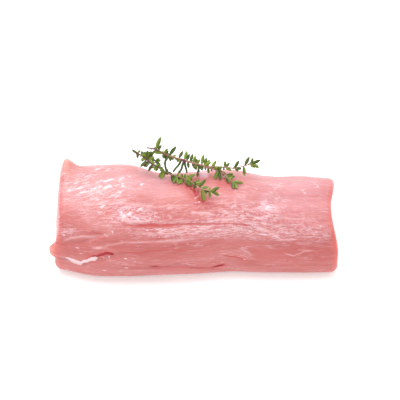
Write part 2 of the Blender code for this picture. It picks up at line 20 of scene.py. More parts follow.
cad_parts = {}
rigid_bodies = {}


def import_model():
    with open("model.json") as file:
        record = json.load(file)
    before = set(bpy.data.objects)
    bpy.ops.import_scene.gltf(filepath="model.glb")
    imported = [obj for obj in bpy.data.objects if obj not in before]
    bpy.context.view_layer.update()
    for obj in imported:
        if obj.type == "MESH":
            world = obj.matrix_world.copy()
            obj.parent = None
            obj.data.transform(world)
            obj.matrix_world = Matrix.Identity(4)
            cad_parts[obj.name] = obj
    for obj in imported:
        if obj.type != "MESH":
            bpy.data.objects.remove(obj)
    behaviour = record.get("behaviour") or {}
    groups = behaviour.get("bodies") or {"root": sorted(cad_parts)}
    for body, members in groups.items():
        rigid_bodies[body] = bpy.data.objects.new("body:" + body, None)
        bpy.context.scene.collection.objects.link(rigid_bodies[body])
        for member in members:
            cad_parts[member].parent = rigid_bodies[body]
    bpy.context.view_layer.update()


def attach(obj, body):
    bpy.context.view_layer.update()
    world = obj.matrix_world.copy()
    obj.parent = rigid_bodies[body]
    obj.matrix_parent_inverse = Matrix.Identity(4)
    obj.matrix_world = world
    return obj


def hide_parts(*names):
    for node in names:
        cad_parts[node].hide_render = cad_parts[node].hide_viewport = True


bl_info = {
    "name": "Raw Veal Striploin",
    "version": (1, 0, 0),
    "blender": (4, 5, 0),
    "location": "View3D > Sidebar > Striploin",
    "description": "Builds a raw veal striploin with thyme around its fixed frame",
    "category": "Object",
}

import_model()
BODY = "root"

# ---- The loin's outline, as in the solid ----

LENGTH = 0.274
# Reach to the front and back and height, in even steps from the left end to the right one.
FRONT = (56.2, 66.6, 69, 67, 64.2, 60.6, 62.2, 62.5, 61.2)
BACK = (67.5, 64, 64, 53, 57, 60, 51, 51.5, 48)
HEIGHT = (62, 66, 66, 61, 61, 62, 59, 58, 57)
MEAN_HEIGHT, MEAN_RADIUS = 0.061, 0.05
WAIST = 0.36  # share of the height at which the section is widest
TOP_FULLNESS, BASE_FULLNESS = 2.35, 3.4
BASE_SINK = 0.0025
RIM_RADIUS = 0.006
END_BULGE, END_LUMPS = 0.0015, 0.0016
LEFT_SLANT = (0.0008, -0.035, 0.05)  # offset of a cut face, and its slopes to the back and upwards
RIGHT_SLANT = (0.004, 0.022, 0.185)
RIGHT_HOLLOW = (40, 0.0267, 0.025, 0.0133)  # tilt, middle, width, depth
SLANT_FROM, SWELLING_FROM = 0.5, 0.9  # shares of the way to the end
SLANT_MIDDLE, SLANT_TOP = 0.031, 0.06
LEFT_SWELLINGS = (  # y, z, their half widths, reach
    (-52, 35, 12, 5, -1.6), (-36, 48, 16, 10, 1.4), (-48, 12, 12, 7, -1.6),
)
RIGHT_SWELLINGS = ((-46, 7, 14, 7, 1.8),)
NUB = (-52, 26.5, 10, 4.9, -6.2)  # as a swelling, but square
LUMP_SIZE, LUMP_STRETCH, LUMP_DEPTH = 0.035, 1.7, 0.0012
TOP_FROM, TOP_TO, FRONT_TO, BACK_FROM = 60, 120, 215, -35  # where the block's sides meet

# Routes run along the loin as (x, angle round the section), from 0 at the back through 90 on top.
FURROWS = (  # height, half width, route
    (-2, 2.6, (-140, 178), (-112, 181), (-94, 169), (-76, 161), (-55, 158)),
    (-0.6, 2.6, (-60, 158), (-30, 157), (4, 162), (22, 169), (44, 182)),
    (-1, 2.4, (-80, 182), (-34, 180), (-18, 175), (4, 187), (30, 203)),
    (-1.4, 2.2, (-134, 154), (-112, 149), (-98, 142), (-84, 138)),
    (-0.8, 2.4, (-66, 129), (-45, 131), (4, 129), (36, 135), (70, 133)),
    (-1, 3, (60, 104), (95, 99), (139, 96)),
    (-1.6, 3, (-140, 28), (-70, 24), (0, 29), (70, 22)),
    (-1.8, 3, (-40, 2), (30, -5), (90, 3), (139, 0)),
)
FURROW_FADE, LINE_FADE = 0.014, 0.006
DENTS = (  # x, angle, half length, half width, height
    (27, 203, 7, 8, -0.8), (-10, 186, 30, 8, 1.2), (2, 58, 5, 4, 2.2), (95, 158, 20, 6, 1),
    (86, 60, 12, 12, -1.6),
)
CORNER_TIP = (-131, 57, 10.5)  # x, angle, height
CORNER_TIP_WIDTHS = (4, 6.5, 6.5)  # towards the end, towards the middle, round the section

# ---- What only the finished surface has ----

CREASES = (  # dark lines: height, half width, how dark, route
    (-1.1, 1.5, 150, (-104, 168), (-96, 165), (-90, 162), (-85, 160), (-76, 162)),
    (-0.3, 0.7, 45, (-78, 158), (-57, 158), (-40, 155), (-25, 154), (-8, 157)),
    (-0.5, 0.9, 28, (-105, 138), (-100, 138), (-94, 139), (-86, 140)),
    (-0.3, 0.6, 32, (-58, 129), (-34, 127), (3, 128), (30, 130), (55, 131)),
    (-0.3, 0.8, 34, (-78, 179), (-58, 178), (-44, 178), (-18, 180), (10, 190)),
    (-0.6, 1, 110, (-46, 178), (-40, 178), (-33, 178)),
    (-0.3, 1.2, 26, (-74, 130), (-60, 130), (-40, 129), (-18, 129)),
    (-1, 1.9, 130, (11, 192), (17, 190), (22, 187), (30, 184)),
    (-0.4, 0.9, 70, (-140, 172), (-135, 175), (-128, 178)),
    (-0.6, 1, 60, (-140, 160), (-136, 156), (-130, 151)),
    (-0.5, 0.8, 55, (22, 167), (34, 170), (52, 176)),
    (-0.3, 0.8, 12, (30, 151), (60, 154), (90, 152)),
    (-0.6, 1, 40, (-140, 28), (-70, 24), (0, 29), (70, 22)),
    (-0.6, 1, 45, (-40, 2), (30, -5), (90, 3), (139, 0)),
    (-0.5, 1, 35, (-120, -8), (-70, -14), (-20, -9)),
)
CREASE_SPREAD = 1.1  # a crease's colour is this much wider than its groove
THREADS = (  # pale raised threads of connective tissue: height, half width, how pale, route
    (0.4, 0.7, 70, (-132, 153), (-128, 150), (-121, 146), (-109, 143), (-94, 142)),
    (0.3, 0.8, 42, (-99, 154), (-89, 153), (-82, 150), (-65, 147), (-40, 145), (3, 143)),
    (0.3, 1.2, 62, (-101, 155), (-95, 154), (-87, 153)),
    (0.2, 0.7, 80, (-8, 116), (4, 117), (18, 119)),
    (0.3, 1, 70, (20, 121), (26, 126), (30, 131), (38, 126)),
    (0.3, 0.7, 85, (54, 131), (64, 134), (73, 138), (82, 144), (98, 143)),
    (0.3, 0.7, 60, (82, 159), (88, 162), (92, 164), (97, 161), (104, 157), (114, 156)),
    (0.3, 0.8, 75, (42, 158), (47, 161), (54, 165)),
    (0.2, 0.8, 40, (-60, 136), (-30, 137), (-10, 136)),
    (0.3, 0.9, 75, (-70, 126), (-58, 126), (-42, 125)),
    (0.2, 0.7, 30, (-115, 112), (-80, 110), (-40, 111), (-10, 108)),
    (0.2, 0.8, 45, (54, 66), (60, 69), (57, 80), (53, 90)),
    (0.2, 0.8, 40, (66, 68), (76, 74), (86, 78)),
    (0.3, 1.2, 60, (-110, 40), (-60, 36), (-10, 40)),
    (0.3, 1.2, 55, (10, 14), (60, 10), (110, 12)),
)
FILMS = (  # silvery membrane: x, angle, half length, half width, strength
    (-67, 121, 6, 4.5, 95), (-54, 117, 14, 4, 75), (-50, 123, 14, 3.5, 85), (-30, 136, 45, 5, 55),
    (-94, 82, 24, 11, 40), (-98, 60, 12, 6, 48), (-112, 96, 22, 7, 34), (-124, 78, 12, 7, 28),
    (-98, 112, 18, 8, 36), (-62, 84, 12, 7, 40), (-126, 140, 8, 4.5, 65), (-100, 122, 15, 8, 20),
    (22, 124, 28, 6, 50), (30, 138, 35, 6, 60), (68, 109, 6, 4.5, 90), (55, 122, 18, 7, 55),
    (90, 136, 26, 9, 50), (108, 128, 18, 7, 30), (120, 138, 12, 7, 30), (30, 104, 20, 6, 25),
    (106, 70, 10, 4.5, 45), (72, 76, 12, 6, 35), (6, 58, 5, 3.5, 130), (-75, 170, 12, 3.5, 35),
    (-10, 170, 30, 4, 20), (-60, 20, 45, 12, 60), (60, 14, 40, 10, 55), (0, -18, 60, 7, 40),
)
PAINTED_GLINTS = (  # painted highlights, white glints of the wet film on the membrane: x, angle, run along x and round, half width, strength
    (-134, 71, 4, 1, 0.6, 60), (-129, 77, 2, -2, 0.7, 60), (-111, 75, 9, -3, 0.6, 50),
    (-99, 85, 6, -3, 0.8, 70), (-91, 83, 11, -4, 0.8, 70), (-89, 92, 4, -3, 1, 65),
    (-83, 90, 8, -3, 0.6, 60), (-76, 81, 4, -5, 0.9, 60), (-72, 85, 1, 5, 0.8, 60),
    (-69, 76, 4, -3, 0.6, 50), (-54, 84, 2, -2, 0.9, 65), (-53, 91, 2, -2, 0.8, 50),
    (-100, 63, 7, -7, 1.3, 50), (-93, 68, 7, -7, 0.7, 60), (-103, 93, 10, -3, 0.7, 60),
    (-134, 92, 21, -3, 1, 45), (-80, 98, 8, -2, 0.6, 50), (-80, 104, 5, -2, 0.6, 50),
    (-118, 97, 10, -2, 0.6, 45), (-121, 83, 7, -2, 0.6, 45), (-92, 114, 4, -2, 0.9, 50),
    (-72, 118, 2, 6, 1.2, 75), (-69, 122, 6, -3, 0.8, 60), (-63, 119, 11, -6, 0.9, 50),
    (-62, 122, 7, 1, 0.9, 50), (-51, 127, 8, 1, 0.5, 70), (-38, 127, 9, 0, 0.5, 60),
    (-47, 133, 13, -2, 0.7, 60), (-2, 105, 5, 0, 0.5, 60), (-2, 100, 4, -2, 0.5, 50),
    (-35, 112, 14, -1, 0.5, 45), (71, 73, 4, 5, 0.8, 50), (77, 84, 6, -14, 0.7, 50),
    (56, 83, 3, 4, 0.7, 50), (61, 139, 5, 0, 0.6, 60), (69, 138, 13, 5, 0.5, 50),
    (49, 147, 4, -2, 0.5, 45), (115, 67, 4, 10, 0.9, 50), (104, 84, 3, 4, 0.7, 50),
    (114, 129, 11, 0, 0.5, 45), (66, 112, 6, -6, 1, 50), (-118, 136, -6, 2, 1, 50),
    (-86, 140, 1, 1, 0.6, 60), (-79, 137, 1, 3, 0.6, 55), (-90, 164, 2, 5, 0.5, 55),
    (-84, 163, 2, 3, 0.5, 55), (-60, 170, 4, 0, 0.5, 60), (-132, 142, 3, 3, 0.6, 50),
    (-116, 157, 2, 0, 0.6, 50), (-112, 164, 2, 0, 0.6, 55), (-101, 157, 2, 0, 0.6, 50),
    (-124, 156, 2, 0, 0.6, 50),
)
VEILS = (  # pale veils over the meat, as films
    (96, 78, 36, 22, 28), (-36, 72, 12, 8, 30), (-66, 72, 16, 10, 20), (-30, 184, 35, 6, 7),
    (-125.5, 182, 3.5, 2.2, 40),
)
THYME_SHADOWS_AND_BLUSHES = (  # painted shadow of the thyme on the meat (first seven rows), and faint deep red patches on the front where the meat is thinly covered (last four rows), as glints
    (-5, 64, 5, 6, 3.2, 40), (-26, 74, 9, 3, 2.4, 45), (-14, 79, 10, 10, 4, 65),
    (-3, 89, 7, 8, 5.2, 85), (4, 99, 12, 5, 3.2, 55), (25, 80, 8, 4, 5.2, 95), (13, 58, 5, 4, 4.2, 70),
    (60, 166, 70, 2, 9, 17), (-75, 184, 87, 8, 6, 10), (-122, 162, 22, 1, 8, 13),
    (70, 136, 30, 0, 7, 10),
)
SCRAP = (6.3, 60, 5, 5)  # pale membrane beside the thyme: x, angle, half length, half width
FAT_STREAKS = (  # height, half width, strength, route
    (0.6, 2.2, 100, (-129, 175), (-121, 179), (-113, 181), (-107, 175), (-100, 170), (-93, 167)),
    (0.6, 3.4, 90, (-126, 177), (-120, 180), (-109, 182)),
    (0.6, 2.3, 90, (-114, 180), (-107, 175), (-100, 170), (-93, 168)),
    (0.6, 1.4, 50, (-58, 16), (-38, 12), (-15, 13), (12, 17)),
    (0.6, 1.1, 48, (-125, 31), (-108, 28), (-86, 30)),
    (0.6, 1.2, 46, (64, -11), (85, -14), (112, -11)),
)
FAT_FLECKS = (  # as films
    (-88, 191, 2.4, 1.8, 62), (-67, 183, 2.2, 1.3, 62), (-67, 166, 1.4, 1, 62),
    (-82, 171, 1.4, 0.8, 62), (-129, 177, 1.4, 0.8, 62), (31, 194, 1.4, 0.9, 62),
    (34, 198, 1.2, 0.7, 62), (40, 200, 1.8, 0.6, 62), (46, 174, 1.4, 0.9, 62),
)
# The red edges of the left and right cut: least redness from 0 to 1, what an angle adds, and its spread.
RIMS = ((0.1, 0.6, 172, 18), (0.35, 0.65, 135, 55))
RIM_FROM, NUB_FROM, NUB_TO, RELIEF_TO = 0.945, 0.96, 0.995, 0.985  # shares of the way to the end
CUT_FROM = 0.955  # share of the way out to the edge of a cut face
FLOWS = (  # turns of the fibres: from x to x, middle angle, half width and drift in degrees
    (-150, -20, 82, 26, 24), (20, 150, 70, 30, -8), (-150, 60, 150, 14, 6),
)
# Length along the fibres, width across them, depth, and the place in the noise.
FIBRE_LAYERS = ((28, 4.8, 0.2, 0), (10, 1.9, 0.06, 17.3))
FILM_WRINKLE = (6.5, 3, 0.22, 51.7)
CUT_GRAIN = ((11, 0.45), (3.4, 0.22))  # size and depth on the cut faces
CUTS = (150, 84, 150)  # along, across and up the block


def metres(millimetres):
    """Metres, also from nested rows of millimetres."""
    return np.divide(millimetres, 1000)


def stations(values, share):
    """Smooth curve in metres through evenly spaced millimetres, at shares from 0 to 1."""
    values = metres(values)
    spans = len(values) - 1
    place = np.clip(share, 0, 1) * spans
    i = np.minimum(place.astype(int), spans - 1)
    t = place - i
    before, a, b, after = (values[np.clip(i + k, 0, spans)] for k in (-1, 0, 1, 2))
    slope_a, slope_b = (b - before) / 2, (after - a) / 2
    return (
        a * (2 * t**3 - 3 * t**2 + 1)
        + slope_a * (t**3 - 2 * t**2 + t)
        + b * (3 * t**2 - 2 * t**3)
        + slope_b * (t**3 - t**2)
    )


def smooth_step(low, high, value):
    t = np.clip((value - low) / (high - low), 0, 1)
    return t * t * (3 - 2 * t)


def bump(*offsets_and_widths):
    """Soft bumps of height 1, given how far off its centre each coordinate is and its width."""
    return np.exp(-0.5 * sum((off / width) ** 2 for off, width in offsets_and_widths))


def square_bump(*offsets_and_widths):
    """Bumps with a flat top and steep sides."""
    return np.exp(-sum((off / width) ** 6 for off, width in offsets_and_widths))


def total(shape, rows):
    """The shapes of all rows, each times the strength that ends its row."""
    return sum(strength / 100 * shape(*row) for *row, strength in rows)


def noise_at(places):
    return np.array([noise.noise(place) for place in places.tolist()])


class LoinSkin:
    """Every point of the loin's surface, from points on a block that runs from -1 to 1 each way."""

    def __init__(self, block):
        u, v, w = block.T
        self.ring = np.maximum(np.abs(v), np.abs(w))
        safe = np.where(self.ring > 0, self.ring, 1)
        angle = self.angle_round(v / safe, w / safe)
        self.x, inset = self.end_profile(u)
        y, z, facing_y, facing_z = self.section(angle, inset)
        self.girth_per_degree = np.hypot(y, z - MEAN_HEIGHT / 2) * radians(1)
        self.angle = np.where(angle < BACK_FROM + 360, angle, angle - 360)
        self.round_y, self.round_z = self.around(self.angle)
        self.end = np.abs(u) >= 1
        self.end_nearness = np.abs(self.x) * 2 / LENGTH
        self.film = np.clip(total(self.spot, FILMS), 0, 1)
        height = self.coarse_relief() + self.fine_relief()
        self.shape_ends(u, y + height * facing_y, z + height * facing_z)

    @staticmethod
    def end_profile(u):
        straight = LENGTH / 2 - RIM_RADIUS
        path = np.abs(u) * (straight + RIM_RADIUS * pi / 2)
        turn = np.maximum(path - straight, 0) / RIM_RADIUS
        reach = np.minimum(path, straight) + RIM_RADIUS * np.sin(turn)
        return np.copysign(reach, u), RIM_RADIUS * (1 - np.cos(turn))

    @staticmethod
    def angle_round(v, w):
        across, up = (v + 1) / 2, (w + 1) / 2
        return np.select(
            [w >= 1, w <= -1, v > 0],
            [
                TOP_TO + across * (TOP_FROM - TOP_TO),
                FRONT_TO + across * (360 + BACK_FROM - FRONT_TO),
                BACK_FROM + up * (TOP_FROM - BACK_FROM),
            ],
            FRONT_TO + up * (TOP_TO - FRONT_TO),
        )

    @staticmethod
    def around(angle):
        """(y, z) on a plain round section."""
        turn = np.radians(angle)
        return np.cos(turn) * MEAN_RADIUS, np.sin(turn) * MEAN_RADIUS

    def section(self, angle, inset):
        """y and z of the plain section, and the direction in which it faces."""
        share = self.x / LENGTH + 0.5
        c, s = np.cos(np.radians(angle)), np.sin(np.radians(angle))
        height = stations(HEIGHT, share)
        waist = WAIST * height
        half = np.where(c > 0, stations(BACK, share), stations(FRONT, share)) - inset
        rise = np.where(s > 0, height - waist, waist + BASE_SINK) - inset
        fullness = np.where(s > 0, TOP_FULLNESS, BASE_FULLNESS)
        radius = (np.abs(c) ** fullness + np.abs(s) ** fullness) ** (-1 / fullness)
        facing_y = np.copysign(np.abs(c) ** (fullness - 1) / half, c)
        facing_z = np.copysign(np.abs(s) ** (fullness - 1) / rise, s)
        size = np.hypot(facing_y, facing_z)
        return half * radius * c, waist + rise * radius * s, facing_y / size, facing_z / size

    def off(self, angle):
        """How far each point is from an angle, measured round the section."""
        return (self.angle - angle) * self.girth_per_degree

    def line(self, route, half_width, fade=LINE_FADE):
        """A soft line along a route, which fades out at an end that is on the loin."""
        xs, angles = zip(*route)
        xs = metres(xs)
        middle = np.full_like(self.x, angles[0])
        for x_a, x_b, angle_a, angle_b in zip(xs, xs[1:], angles, angles[1:]):
            on = self.x > x_a
            middle[on] = (angle_a + (angle_b - angle_a) * smooth_step(x_a, x_b, self.x))[on]
        left = np.ones_like(self.x)
        for end, inwards in ((xs[0], fade), (xs[-1], -fade)):
            if abs(end) <= LENGTH / 2:
                left *= smooth_step(end, end + inwards, self.x)
        return left * bump((self.off(middle), metres(half_width)))

    def lines(self, rows, spread=1):
        return sum(share / 100 * self.line(route, half * spread) for _, half, share, *route in rows)

    def spot(self, x, angle, half_length, half_width, shape=bump):
        return shape((self.x - metres(x), metres(half_length)), (self.off(angle), metres(half_width)))

    def mark(self, x, angle, length, turn, half_width):
        """A short straight streak."""
        along, across, width = metres(length), turn * self.girth_per_degree, metres(half_width)
        off_along, off_across = self.x - metres(x), self.off(angle)
        share = np.clip((off_along * along + off_across * across) / (along**2 + across**2), 0, 1)
        return bump((off_along - share * along, width), (off_across - share * across, width))

    def coarse_relief(self):
        """Height of the solid's uneven surface over the plain section."""
        place = np.stack([self.x / LUMP_STRETCH, self.round_y, self.round_z], -1) / LUMP_SIZE
        height = LUMP_DEPTH * noise_at(place)
        for rise, half_width, *route in FURROWS:
            height += metres(rise) * self.line(route, half_width, FURROW_FADE)
        for *place, rise in DENTS:
            height += metres(rise) * self.spot(*place)
        x, angle, rise = CORNER_TIP
        to_end, to_middle, half_width = CORNER_TIP_WIDTHS
        self.corner = self.spot(x, angle, np.where(self.x < metres(x), to_end, to_middle), half_width)
        return height + metres(rise) * self.corner

    def flow(self):
        """How far round the section the fibres have drifted, in degrees."""
        return sum(
            drift * smooth_step(*metres(span), self.x) * bump((self.angle - angle, half_width))
            for *span, angle, half_width, drift in FLOWS
        )

    def streaks(self, length, width, depth, offset):
        length, width, depth = metres((length, width, depth))
        place = np.stack([self.x / length, self.round_y / width, self.round_z / width], -1)
        return depth * noise_at(place + offset)

    def fine_relief(self):
        """Height of the fibres, creases, threads and wrinkled membrane over the solid's surface."""
        height = sum(self.streaks(*layer) for layer in FIBRE_LAYERS)
        height += self.film * self.streaks(*FILM_WRINKLE)
        for rise, half_width, _, *route in CREASES + THREADS + FAT_STREAKS:
            height += metres(rise) * self.line(route, half_width)
        return height * (1 - smooth_step(RELIEF_TO, 1, self.end_nearness))

    def shape_ends(self, u, y, z):
        """Fills the cut faces, bulges and slants them, and rests the base on the floor."""
        waist = WAIST * stations(HEIGHT, self.x / LENGTH + 0.5)
        self.ring = np.where(self.end, self.ring, 1)
        y, z = y * self.ring, waist + (z - waist) * self.ring
        inside = 1 - self.ring**2
        face = np.stack([self.x, y, z], -1)
        out = (END_BULGE + END_LUMPS * noise_at(face / LUMP_SIZE)) * inside
        for size, depth in metres(CUT_GRAIN):
            out += depth * noise_at(face / size) * np.minimum(inside * 4, 1)
        x = self.x + np.copysign(out, u) * self.end
        left, nearness = x < 0, np.abs(x) * 2 / LENGTH

        def across(mid_y, mid_z, width_y, width_z):
            return (y - mid_y, width_y), (z - mid_z, width_z)

        def swelling(rows):
            return sum(reach * bump(*across(*row)) for *row, reach in metres(rows))

        def slant(offset, by_y, by_z):
            return offset + by_y * y + by_z * (np.minimum(z, SLANT_TOP) - SLANT_MIDDLE)

        tilt, hollow_middle, hollow_width, hollow_depth = RIGHT_HOLLOW
        tilted = y * sin(radians(tilt)) + z * cos(radians(tilt))
        hollow = hollow_depth * bump((tilted - hollow_middle, hollow_width))
        *nub, nub_reach = metres(NUB)
        nub = square_bump(*across(*nub))
        self.nub = nub * smooth_step(NUB_FROM, NUB_TO, nearness) * left
        bent = np.where(left, slant(*LEFT_SLANT), slant(*RIGHT_SLANT) - hollow)
        swollen = np.where(left, swelling(LEFT_SWELLINGS) + nub_reach * nub, swelling(RIGHT_SWELLINGS))
        shift = smooth_step(SLANT_FROM, 1, nearness) * bent
        shift += smooth_step(SWELLING_FROM, 1, nearness) * swollen
        self.points = np.stack([x + shift, y, np.maximum(z, 0)], -1)
        round_y, round_z = self.around(self.angle + self.flow())
        self.fibre = np.stack([self.x, round_y * self.ring, round_z * self.ring], -1)

    def layers(self):
        """What the finish reads at each point, each from 0 to 1."""
        rims = [least + more * bump((self.angle - middle, wide)) for least, more, middle, wide in RIMS]
        rim = smooth_step(RIM_FROM, 1, self.end_nearness) * np.where(self.x < 0, *rims)
        cut = np.where(self.end, 1 - smooth_step(CUT_FROM, 1, self.ring), 0)
        on_side = {
            "crease": self.lines(CREASES, CREASE_SPREAD),
            "thread": self.lines(THREADS),
            "film": self.film,
            "fat": self.lines(FAT_STREAKS) + total(self.spot, FAT_FLECKS),
            # painted highlights of the wet film
            "glint": total(self.mark, PAINTED_GLINTS),
            "veil": total(self.spot, VEILS),
            # painted shadow of the thyme, and faint red patches on the front
            "blush": total(self.mark, THYME_SHADOWS_AND_BLUSHES),
        }
        return {
            **{name: np.clip(values, 0, 1) * (1 - cut) for name, values in on_side.items()},
            "rim": rim * (1 - self.nub),
            "cut": cut,
            "corner": np.clip(self.corner + self.nub, 0, 1),
            "scrap": self.spot(*SCRAP, square_bump),
        }


# ---- Thyme, as in the solid ----

# Each shoot: route as (x, y, z), stem radius at both ends, and its leaves as (percent of the way along,
# angle from +X in the sprigs' leaning plane, lean out of that plane, length).
LONG_SPRIG = (
    ((
        (-49, 44, 80), (-39, 41, 79.5), (-27, 35, 76.5), (-15, 32.5, 74.5), (-3.5, 30.5, 71.5),
        (7.5, 29.5, 68.5), (14.5, 29, 66),
    ), (0.7, 1.1), (
        (9, 16, 10, 5), (13, 68, 12, 13.6), (16, 56, -23, 7.5), (17, -163, -8, 7), (17, 64, -30, 4.6),
        (26, -88, 12, 5.5), (26, -36, -20, 6.1), (27, 52, 15, 6.4), (27, 170, 10, 10.8),
        (28, -100, -10, 5), (29, 44, 15, 5), (31, -100, -25, 6.3), (31, 88, -20, 4), (35, 53, 10, 12),
        (35, 121, -15, 5.6), (37, -90, -30, 5.6), (37, -86, -12, 5.5), (38, -47, 20, 4.5),
        (39, 8, 20, 4.5), (42, 58, -35, 4.6), (44, -42, 25, 4.1), (46, -39, 10, 5.8), (50, 61, 5, 8.7),
        (54, -152, 10, 5.4), (59, 75, -8, 10), (62, 67, 20, 7.8), (64, -83, -10, 7.1),
        (67, 69, -5, 8.7), (70, 103, -10, 4.5), (72, -65, -12, 7.9), (72, 69, 20, 7.8),
        (73, -94, 10, 4.4), (75, -76, -15, 7.1), (75, 66, -30, 6.6), (76, -117, 15, 5.1),
        (78, 58, 20, 5.7), (79, 110, 12, 5), (82, -65, 20, 6.8), (85, 80, -8, 11.3),
        (87, -101, -20, 5), (88, 26, 20, 8.5), (89, 74, 7, 8.7), (90, -77, 15, 4.4), (90, 33, 10, 6.6),
        (91, 58, -20, 8.9), (94, 81, 15, 4.2), (95, -83, -10, 6.2), (100, 49, 10, 5.4),
        (100, 56, -8, 9.5),
    )),
    ((
        (10.5, 29.3, 67.5), (21, 30, 67), (32, 30, 66), (38, 29.7, 65), (43.5, 31, 66),
        (50, 32.8, 66.7), (55.5, 34, 67.7),
    ), (0.75, 0.45), (
        (38, 86, 8, 6.1), (39, -30, 15, 6.8), (40, 48, -12, 6.3), (45, -44, 15, 4.3), (59, 60, 8, 9.1),
        (60, -35, 12, 4.7), (60, 9, -15, 6.5), (62, -4, 15, 6), (80, -83, 12, 9.7), (82, 62, 6, 10.4),
        (96, -61, 25, 4.3), (97, 73, -12, 6.8), (98, -44, -25, 6.1), (99, -31, 14, 8.5),
        (99, 26, 6, 9.4), (100, -26, 10, 7.1), (100, 37, -10, 5.1),
    )),
    ((
        (11.5, 29.2, 67.2), (22, 27, 64), (28, 21.5, 63.7), (30.5, 16.5, 63.8), (34, 11.8, 64.2),
        (36.2, 9.5, 64.6),
    ), (0.8, 0.45), (
        (13, 68, -25, 6), (15, 37, 12, 4.4), (18, 29, 30, 4.6), (25, 31, 10, 7.1),
        (29, -110, 32, 10.6), (30, -6, 30, 4.3), (30, 107, -35, 4.3), (31, 52, 25, 5.9),
        (33, -80, 40, 11.2), (35, 101, 20, 5), (36, -20, -10, 5.4), (37, -20, -6, 7),
        (40, -35, 20, 5.2), (61, 11, 15, 7.2), (62, 17, 8, 8), (66, -67, 42, 8.5), (66, -59, 38, 7.4),
        (67, -78, 43, 8.5), (69, 5, -10, 8.7), (76, 1, 15, 5), (85, 55, -20, 4.7), (94, -79, 46, 10.7),
        (98, -8, 6, 10.2), (99, -3, 28, 5.6), (100, -61, 36, 9.9),
    )),
    (((-27, 35.1, 76.5), (-30.4, 31.5, 73.7), (-31, 29, 70.6), (-29.7, 26.2, 64.6)), (1.2, 1), (
        (5, -32, 12, 5.8),
    )),
    (((-14.5, 32.4, 74.4), (-17.3, 31.2, 68.9), (-20.6, 28, 66.5), (-23.2, 25.5, 63.9)), (1.2, 1), ()),
    (((-12, 31.9, 73.8), (-13.9, 30, 68.9), (-14.9, 28, 65.5), (-17.5, 25.6, 62.6)), (1.2, 1), (
        (98, -114, 10, 4.4),
    )),
    (((-11.6, 31.8, 73.7), (-11.1, 29.6, 68.7), (-10.1, 28, 65.7), (-9.5, 25.2, 63.4)), (1.2, 1), ()),
    (((2.1, 29.9, 70), (2.2, 27.8, 66.5), (1.1, 24, 63.1)), (1.2, 1), ((85, -96, 8, 4.4),)),
)
SHORT_SPRIG = (
    ((
        (-64, 46, 76), (-56.5, 42, 73), (-50.5, 38.5, 70.5), (-43, 33.5, 67), (-35.5, 30, 64),
        (-29, 27.2, 61.3), (-20.5, 22.5, 61.2), (-13, 18, 62), (-7.5, 13, 63), (-1.5, 2.4, 66.8),
        (4.5, -7.7, 70), (13.8, -13.4, 71.8),
    ), (0.65, 0.45), (
        (3, -43, 10, 6.5), (6, -89, -10, 5.3), (6, 43, 15, 4.3), (6, 151, 8, 6), (9, -4, 20, 5.8),
        (11, 53, -20, 6.1), (11, 87, -10, 5.5), (12, 50, 25, 4.3), (13, -108, 12, 5.1),
        (13, 21, -15, 6.7), (15, 12, 8, 8.9), (16, -176, 15, 5.4), (16, 54, 15, 9.7),
        (18, 61, -15, 4.5), (19, -112, -25, 8.2), (19, 31, 8, 7.2), (20, -156, -15, 7.7),
        (20, -12, 12, 6.7), (21, -143, 20, 6.2), (21, -36, -12, 5.6), (23, -65, 20, 5.2),
        (24, -120, 8, 8.4), (25, -24, -10, 4.9), (26, -11, 25, 4.6), (27, -74, -10, 6),
        (27, 12, -15, 6.2), (29, -157, -20, 4.1), (29, -137, 15, 4.5), (29, -89, -15, 4.1),
        (29, -8, 10, 6.3), (32, -49, 12, 5.5), (36, -125, 18, 8.2), (37, -112, 34, 9.5),
        (37, -37, -8, 5.3), (38, -118, 27, 8.1), (38, 142, 12, 6.4), (39, -8, 15, 6.3),
        (39, 57, -25, 4.6), (45, -74, 48, 10.8), (45, -27, 22, 11), (49, -101, 48, 11.3),
        (50, -74, 48, 9.8), (51, -24, -2, 5.1), (56, -91, 46, 8.2), (57, -127, 42, 10.1),
        (57, 103, 25, 5), (60, -61, 46, 11.3), (60, 25, 4, 11.5), (60, 89, -20, 5.8),
        (62, -57, 43, 9.2), (63, 14, -15, 5.9), (64, -52, 31, 6.5), (66, 109, 15, 4.8),
        (68, -25, 10, 5), (69, 123, -10, 9.2), (74, -158, -20, 4.7), (76, -85, -15, 4.8),
        (76, 45, 8, 7), (77, 22, 10, 5.8), (80, -19, 20, 5.3), (80, 119, 20, 4.1), (82, 21, 10, 6.9),
        (84, 44, -6, 10.8), (89, 16, 8, 7.4), (90, -79, 5, 12.6), (92, -22, 12, 5.9),
        (93, -56, -15, 5.9), (98, 86, -30, 4), (99, -89, -8, 7.1), (99, 6, 25, 4.8),
        (100, -25, -6, 9.4), (100, 7, 10, 5.7), (100, 24, 8, 9.1),
    )),
    (((-51.6, 39.1, 71), (-47.1, 40.2, 72.8), (-43.1, 40.2, 73.5)), (0.45, 0.35), (
        (6, 68, 10, 7.7), (26, 126, 20, 4.3), (43, 52, -10, 5.4), (46, 34, -12, 8),
        (50, 116, -25, 4.1), (56, 20, 15, 4.4), (69, 112, 15, 4.6),
    )),
    (((-45.9, 35.4, 68.3), (-42.7, 37.2, 68.5), (-39.5, 38.5, 69.3)), (0.45, 0.35), (
        (27, 47, -20, 4.2), (58, 109, -20, 4.1), (69, -39, 10, 8.1), (81, 21, 8, 4.8),
        (84, -7, -10, 5.5),
    )),
    (((-50.2, 38.2, 70.3), (-50.2, 34.5, 68.2), (-52.7, 31, 67.1)), (0.45, 0.35), (
        (21, -127, -10, 5.8), (27, -134, 10, 8), (57, -104, -15, 4.1),
    )),
    (((-43.1, 33.6, 67), (-45.5, 30.5, 65.6), (-47.4, 28, 64)), (0.45, 0.35), ((6, -91, -30, 4.7),)),
)
SPRIGS = {"thyme_sprig_long": LONG_SPRIG, "thyme_sprig_short": SHORT_SPRIG}
